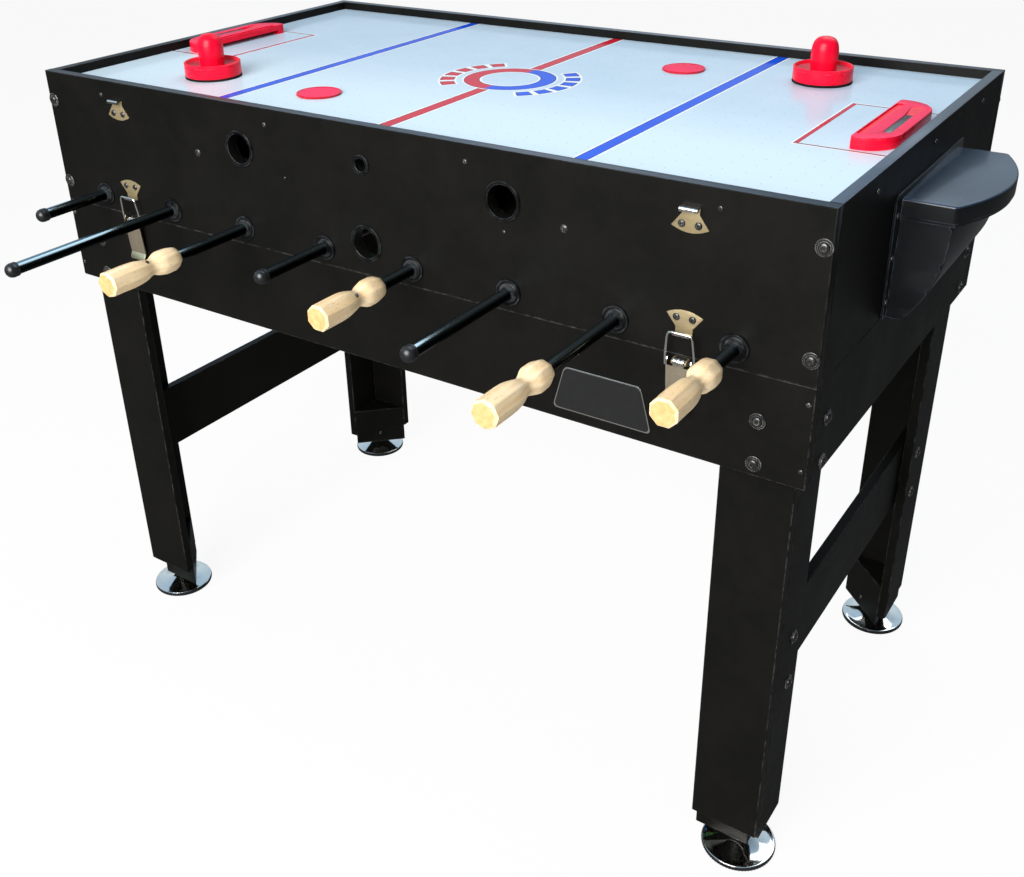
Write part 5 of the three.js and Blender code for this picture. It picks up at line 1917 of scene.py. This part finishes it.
def lever_form():
    """A leaning satin strip, a flared bright finger, cheeks and a banded barrel."""
    inner = PIN_PROUD + LEVER_THICKNESS
    top = -PIN_DROP - BARREL_RADIUS
    bottom = -PIN_DROP - LEVER_LENGTH
    lean = math.degrees(math.atan2(LEVER_LEAN, top - bottom))
    flare = math.degrees(math.atan2(FINGER_FLARE, FINGER_LENGTH))
    hung = at(0, inner, top) @ turn_about("X", -lean) @ at(0, 0, -top)
    strip_loop = [
        (-LEVER_HALF, top), (-LEVER_HALF, bottom), (LEVER_HALF, bottom), (LEVER_HALF, top),
    ]
    strip = softened(plate(strip_loop, LEVER_THICKNESS), 0.5 * MM, 2)
    placed(strip, hung, UPRIGHT)
    pressed_low = (-LEVER_HALF + 5 * MM, bottom + 8 * MM)
    pressed_high = (LEVER_HALF - 5 * MM, top - 7 * MM)
    pressed = plate(rounded_rectangle(pressed_low, pressed_high, 5 * MM), 0.7 * MM)
    softened(pressed, 0.35 * MM, 2, 50)
    placed(pressed, hung, at(0, LEVER_THICKNESS - 0.2 * MM, 0), UPRIGHT)
    tab_loop = rounded_rectangle(
        (-LEVER_HALF, -FINGER_LENGTH - 1.2 * MM), (LEVER_HALF, 2 * MM), 4 * MM, 4,
    )
    tab = softened(plate(tab_loop, LEVER_THICKNESS - 0.3 * MM), 0.4 * MM, 2, 50)
    placed(tab, at(0, inner - LEVER_LEAN + 0.2 * MM, bottom), turn_about("X", flare), UPRIGHT)
    tongue = block(
        (-BARREL_HALF, inner, top - MM),
        (BARREL_HALF, inner + LEVER_THICKNESS, -PIN_DROP),
    )
    softened(tongue, 0.6 * MM, 2)
    bands = [(PIN_RADIUS + CLEARANCE, -BARREL_HALF)]
    band = 2 * BARREL_HALF / 3
    for step in range(3):
        start = step * band - BARREL_HALF
        bands += [
            (BARREL_RADIUS - 0.7 * MM, start + 0.1 * MM),
            (BARREL_RADIUS, start + 0.8 * MM),
            (BARREL_RADIUS, start + band - 0.8 * MM),
            (BARREL_RADIUS - 0.7 * MM, start + band - 0.1 * MM),
        ]
    bands += [(PIN_RADIUS + CLEARANCE, BARREL_HALF), (PIN_RADIUS + CLEARANCE, -BARREL_HALF)]
    barrel = placed(turned(bands, 28), at(0, PIN_PROUD, -PIN_DROP), ALONG_X)
    parts = [strip, pressed, coated(tab, 2), tongue, coated(barrel, 1)]
    for sign in (-1, 1):
        cheek_loop = [
            (inner + 1.5 * MM, top - 4 * MM),
            (inner + 1.5 * MM, -PIN_DROP),
            *curved((inner, -PIN_DROP + 4 * MM), (PIN_PROUD, -PIN_DROP + 6.5 * MM),
                    (PIN_PROUD - 4 * MM, -PIN_DROP + 3.5 * MM), 6),
            (PIN_PROUD - 5 * MM, -PIN_DROP),
            (PIN_PROUD - 4 * MM, -PIN_DROP - 4 * MM),
            (PIN_PROUD, top - 4 * MM),
        ]
        cheek = placed(
            plate(cheek_loop, 1.3 * MM),
            at(sign * (LEVER_HALF - 0.65 * MM) - 0.65 * MM, 0, 0),
            ENDWISE,
        )
        parts.append(coated(cheek, 1))
    return merged(*parts)


def bail_form():
    """A wire loop, wider at its feet, with round corners."""
    leg_offset = LEVER_HALF + BAIL_PLAY + BAIL_WIRE
    foot = -PIN_DROP - BAIL_PIVOT_DROP
    lean = HOOK_PROUD + CLEARANCE + BAIL_WIRE - PIN_PROUD
    shoulder = BAIL_HEIGHT - BAIL_CORNER
    splay = (leg_offset - BAIL_TOP_HALF) * BAIL_CORNER / (BAIL_HEIGHT - BAIL_STRAIGHT)
    half = [
        (leg_offset, 0),
        (leg_offset, BAIL_STRAIGHT),
        *curved(
            (BAIL_TOP_HALF + splay, shoulder),
            (BAIL_TOP_HALF, BAIL_HEIGHT),
            (BAIL_TOP_HALF - BAIL_CORNER, BAIL_HEIGHT),
            8,
        ),
        (BAIL_TOP_HALF - BAIL_CORNER, BAIL_HEIGHT),
    ]
    line = [*half, *[(-x, rise) for x, rise in reversed(half)]]
    curve = bpy.data.curves.new("wire", "CURVE")
    curve.dimensions = "3D"
    curve.bevel_depth = BAIL_WIRE
    curve.bevel_resolution = 4
    curve.use_fill_caps = True
    spline = curve.splines.new("POLY")
    spline.points.add(len(line) - 1)
    for point, (x, rise) in zip(spline.points, line):
        point.co = (x, PIN_PROUD + lean * rise / BAIL_HEIGHT, foot + rise, 1)
    return form_of_curve(curve)


def build_latch(front, right):
    name = f"{'front' if front else 'back'}_{'right' if right else 'left'}"
    x = LATCH_OFFSET if right else -LATCH_OFFSET
    place = at(x, 0, 0) @ side_place(front)
    piece(
        f"{name}_lever_plate",
        placed(lever_form(), place),
        f"{name}_lever",
        [SATIN_STEEL, BRIGHT_NICKEL, FINGER_NICKEL],
        [f"{name}_latch_lever"],
        smooth=30,
    )
    piece(
        f"{name}_bail_wire",
        placed(bail_form(), place),
        f"{name}_bail",
        [CHROME],
        [f"{name}_latch_bail"],
        smooth=50,
    )


# Studio


def build_floor():
    form = bmesh.new()
    bmesh.ops.create_grid(form, x_segments=1, y_segments=1, size=9.0)
    bmesh.ops.translate(form, vec=(0, 0, -0.2 * MM), verts=form.verts)
    mesh = bpy.data.meshes.new("floor")
    form.to_mesh(mesh)
    form.free()
    floor = bpy.data.objects.new("floor", mesh)
    scene.collection.objects.link(floor)
    finish = bpy.data.materials.new("pale_floor")
    finish.use_nodes = True
    tree = finish.node_tree
    tree.nodes.clear()
    vector = node(tree, "ShaderNodeTexCoord").outputs["Object"]
    clouds = effect(tree, MOTTLE, {"Vector": vector, "Scale": 3.0, "Spread": 0.3})
    colour = blended(tree, clouds, tint("#eeeeee"), tint("#f2f2f2"))
    diffuse = node(tree, "ShaderNodeBsdfDiffuse", {"Color": colour})
    glow = node(tree, "ShaderNodeEmission", {"Color": (1, 1, 1, 1), "Strength": 1.0})
    path = node(tree, "ShaderNodeLightPath")
    share = maths(tree, "MULTIPLY", path.outputs["Is Camera Ray"], 0.92)
    mix = node(tree, "ShaderNodeMixShader", {0: share, 1: diffuse.outputs[0], 2: glow.outputs[0]})
    dim = node(tree, "ShaderNodeEmission", {"Color": tint("#303234"), "Strength": 1.0})
    mirrored = maths(tree, "MULTIPLY", path.outputs["Is Glossy Ray"], 0.85)
    mix = node(tree, "ShaderNodeMixShader", {0: mirrored, 1: mix.outputs[0], 2: dim.outputs[0]})
    clear = node(tree, "ShaderNodeBsdfTransparent")
    back = node(tree, "ShaderNodeNewGeometry").outputs["Backfacing"]
    whole = node(tree, "ShaderNodeMixShader", {0: back, 1: mix.outputs[0], 2: clear.outputs[0]})
    out = node(tree, "ShaderNodeOutputMaterial")
    tree.links.new(whole.outputs[0], out.inputs["Surface"])
    mesh.materials.append(finish)


def build_world():
    world = bpy.data.worlds.new("studio")
    scene.world = world
    world.use_nodes = True
    tree = world.node_tree
    tree.nodes.clear()
    direction = node(tree, "ShaderNodeTexCoord").outputs["Generated"]
    axes = node(tree, "ShaderNodeSeparateXYZ", {0: direction}).outputs
    sky = blended(tree, ranged(tree, axes[2], 0.1, 0.75), tint("#d5e6f2"), tint("#a6c3e0"))
    sky = blended(tree, ranged(tree, axes[2], -0.05, 0.28), tint("#3a4047"), sky)
    sky = blended(tree, ranged(tree, axes[0], 0.1, 0.8), sky, tint("#2c3138"))
    mirrored = node(tree, "ShaderNodeBackground", {"Color": sky, "Strength": 1.0})
    shade = ranged(tree, axes[0], -0.5, 0.7, 0.38, 0.12)
    lit = node(tree, "ShaderNodeBackground", {"Color": tint("#f7f9ff"), "Strength": shade})
    white = node(tree, "ShaderNodeBackground", {"Color": (1, 1, 1, 1), "Strength": 1.0})
    path = node(tree, "ShaderNodeLightPath").outputs
    mix = node(
        tree,
        "ShaderNodeMixShader",
        {0: path["Is Glossy Ray"], 1: lit.outputs[0], 2: mirrored.outputs[0]},
    )
    whole = node(
        tree,
        "ShaderNodeMixShader",
        {0: path["Is Camera Ray"], 1: mix.outputs[0], 2: white.outputs[0]},
    )
    out = node(tree, "ShaderNodeOutputWorld")
    tree.links.new(whole.outputs[0], out.inputs["Surface"])


def add_softbox(name, place, aim, size, power, colour):
    lamp = bpy.data.lights.new(name, "AREA")
    lamp.shape = "SQUARE"
    lamp.size = size
    lamp.energy = power
    lamp.color = colour
    holder = bpy.data.objects.new(name, lamp)
    scene.collection.objects.link(holder)
    holder.location = place
    holder.rotation_mode = "QUATERNION"
    holder.rotation_quaternion = (Vector(aim) - Vector(place)).to_track_quat("-Z", "Y")


def add_camera():
    lens = bpy.data.cameras.new("camera")
    lens.sensor_width = 36
    lens.lens = CAMERA_LENS
    lens.shift_x = CAMERA_SHIFT_X
    lens.shift_y = CAMERA_SHIFT_Y
    holder = bpy.data.objects.new("camera", lens)
    scene.collection.objects.link(holder)
    holder.matrix_world = (
        Matrix.Translation(CAMERA_PLACE)
        @ Matrix.Rotation(CAMERA_TURN, 4, "Z")
        @ Matrix.Rotation(math.pi / 2 - CAMERA_DIP, 4, "X")
        @ Matrix.Rotation(CAMERA_ROLL, 4, "Z")
    )
    scene.camera = holder


add_camera()
for is_front in (True, False):
    build_long_panel(is_front)
    build_apron(is_front)
for is_right in (True, False):
    build_end_panel(is_right)
    build_end_apron(is_right)
    build_ball_return(is_right)
    build_hockey_goal(is_right)
    build_pusher(is_right)
    build_puck(is_right)
    for is_front in (True, False):
        build_corner(is_front, is_right)
        build_latch(is_front, is_right)
build_hockey_surface()
build_badge()
for rod_index in range(ROD_COUNT):
    build_rod(rod_index)

build_floor()
build_world()
add_softbox("key_softbox", (0.2, -3.0, 2.1), (0, 0, 0.7), 2.2, 180, (1.0, 0.99, 0.97))
add_softbox("top_softbox", (0.3, 1.6, 3.2), (0, 0, 0.9), 2.4, 40, (0.92, 0.97, 1.0))
scene.view_settings.view_transform = "Standard"
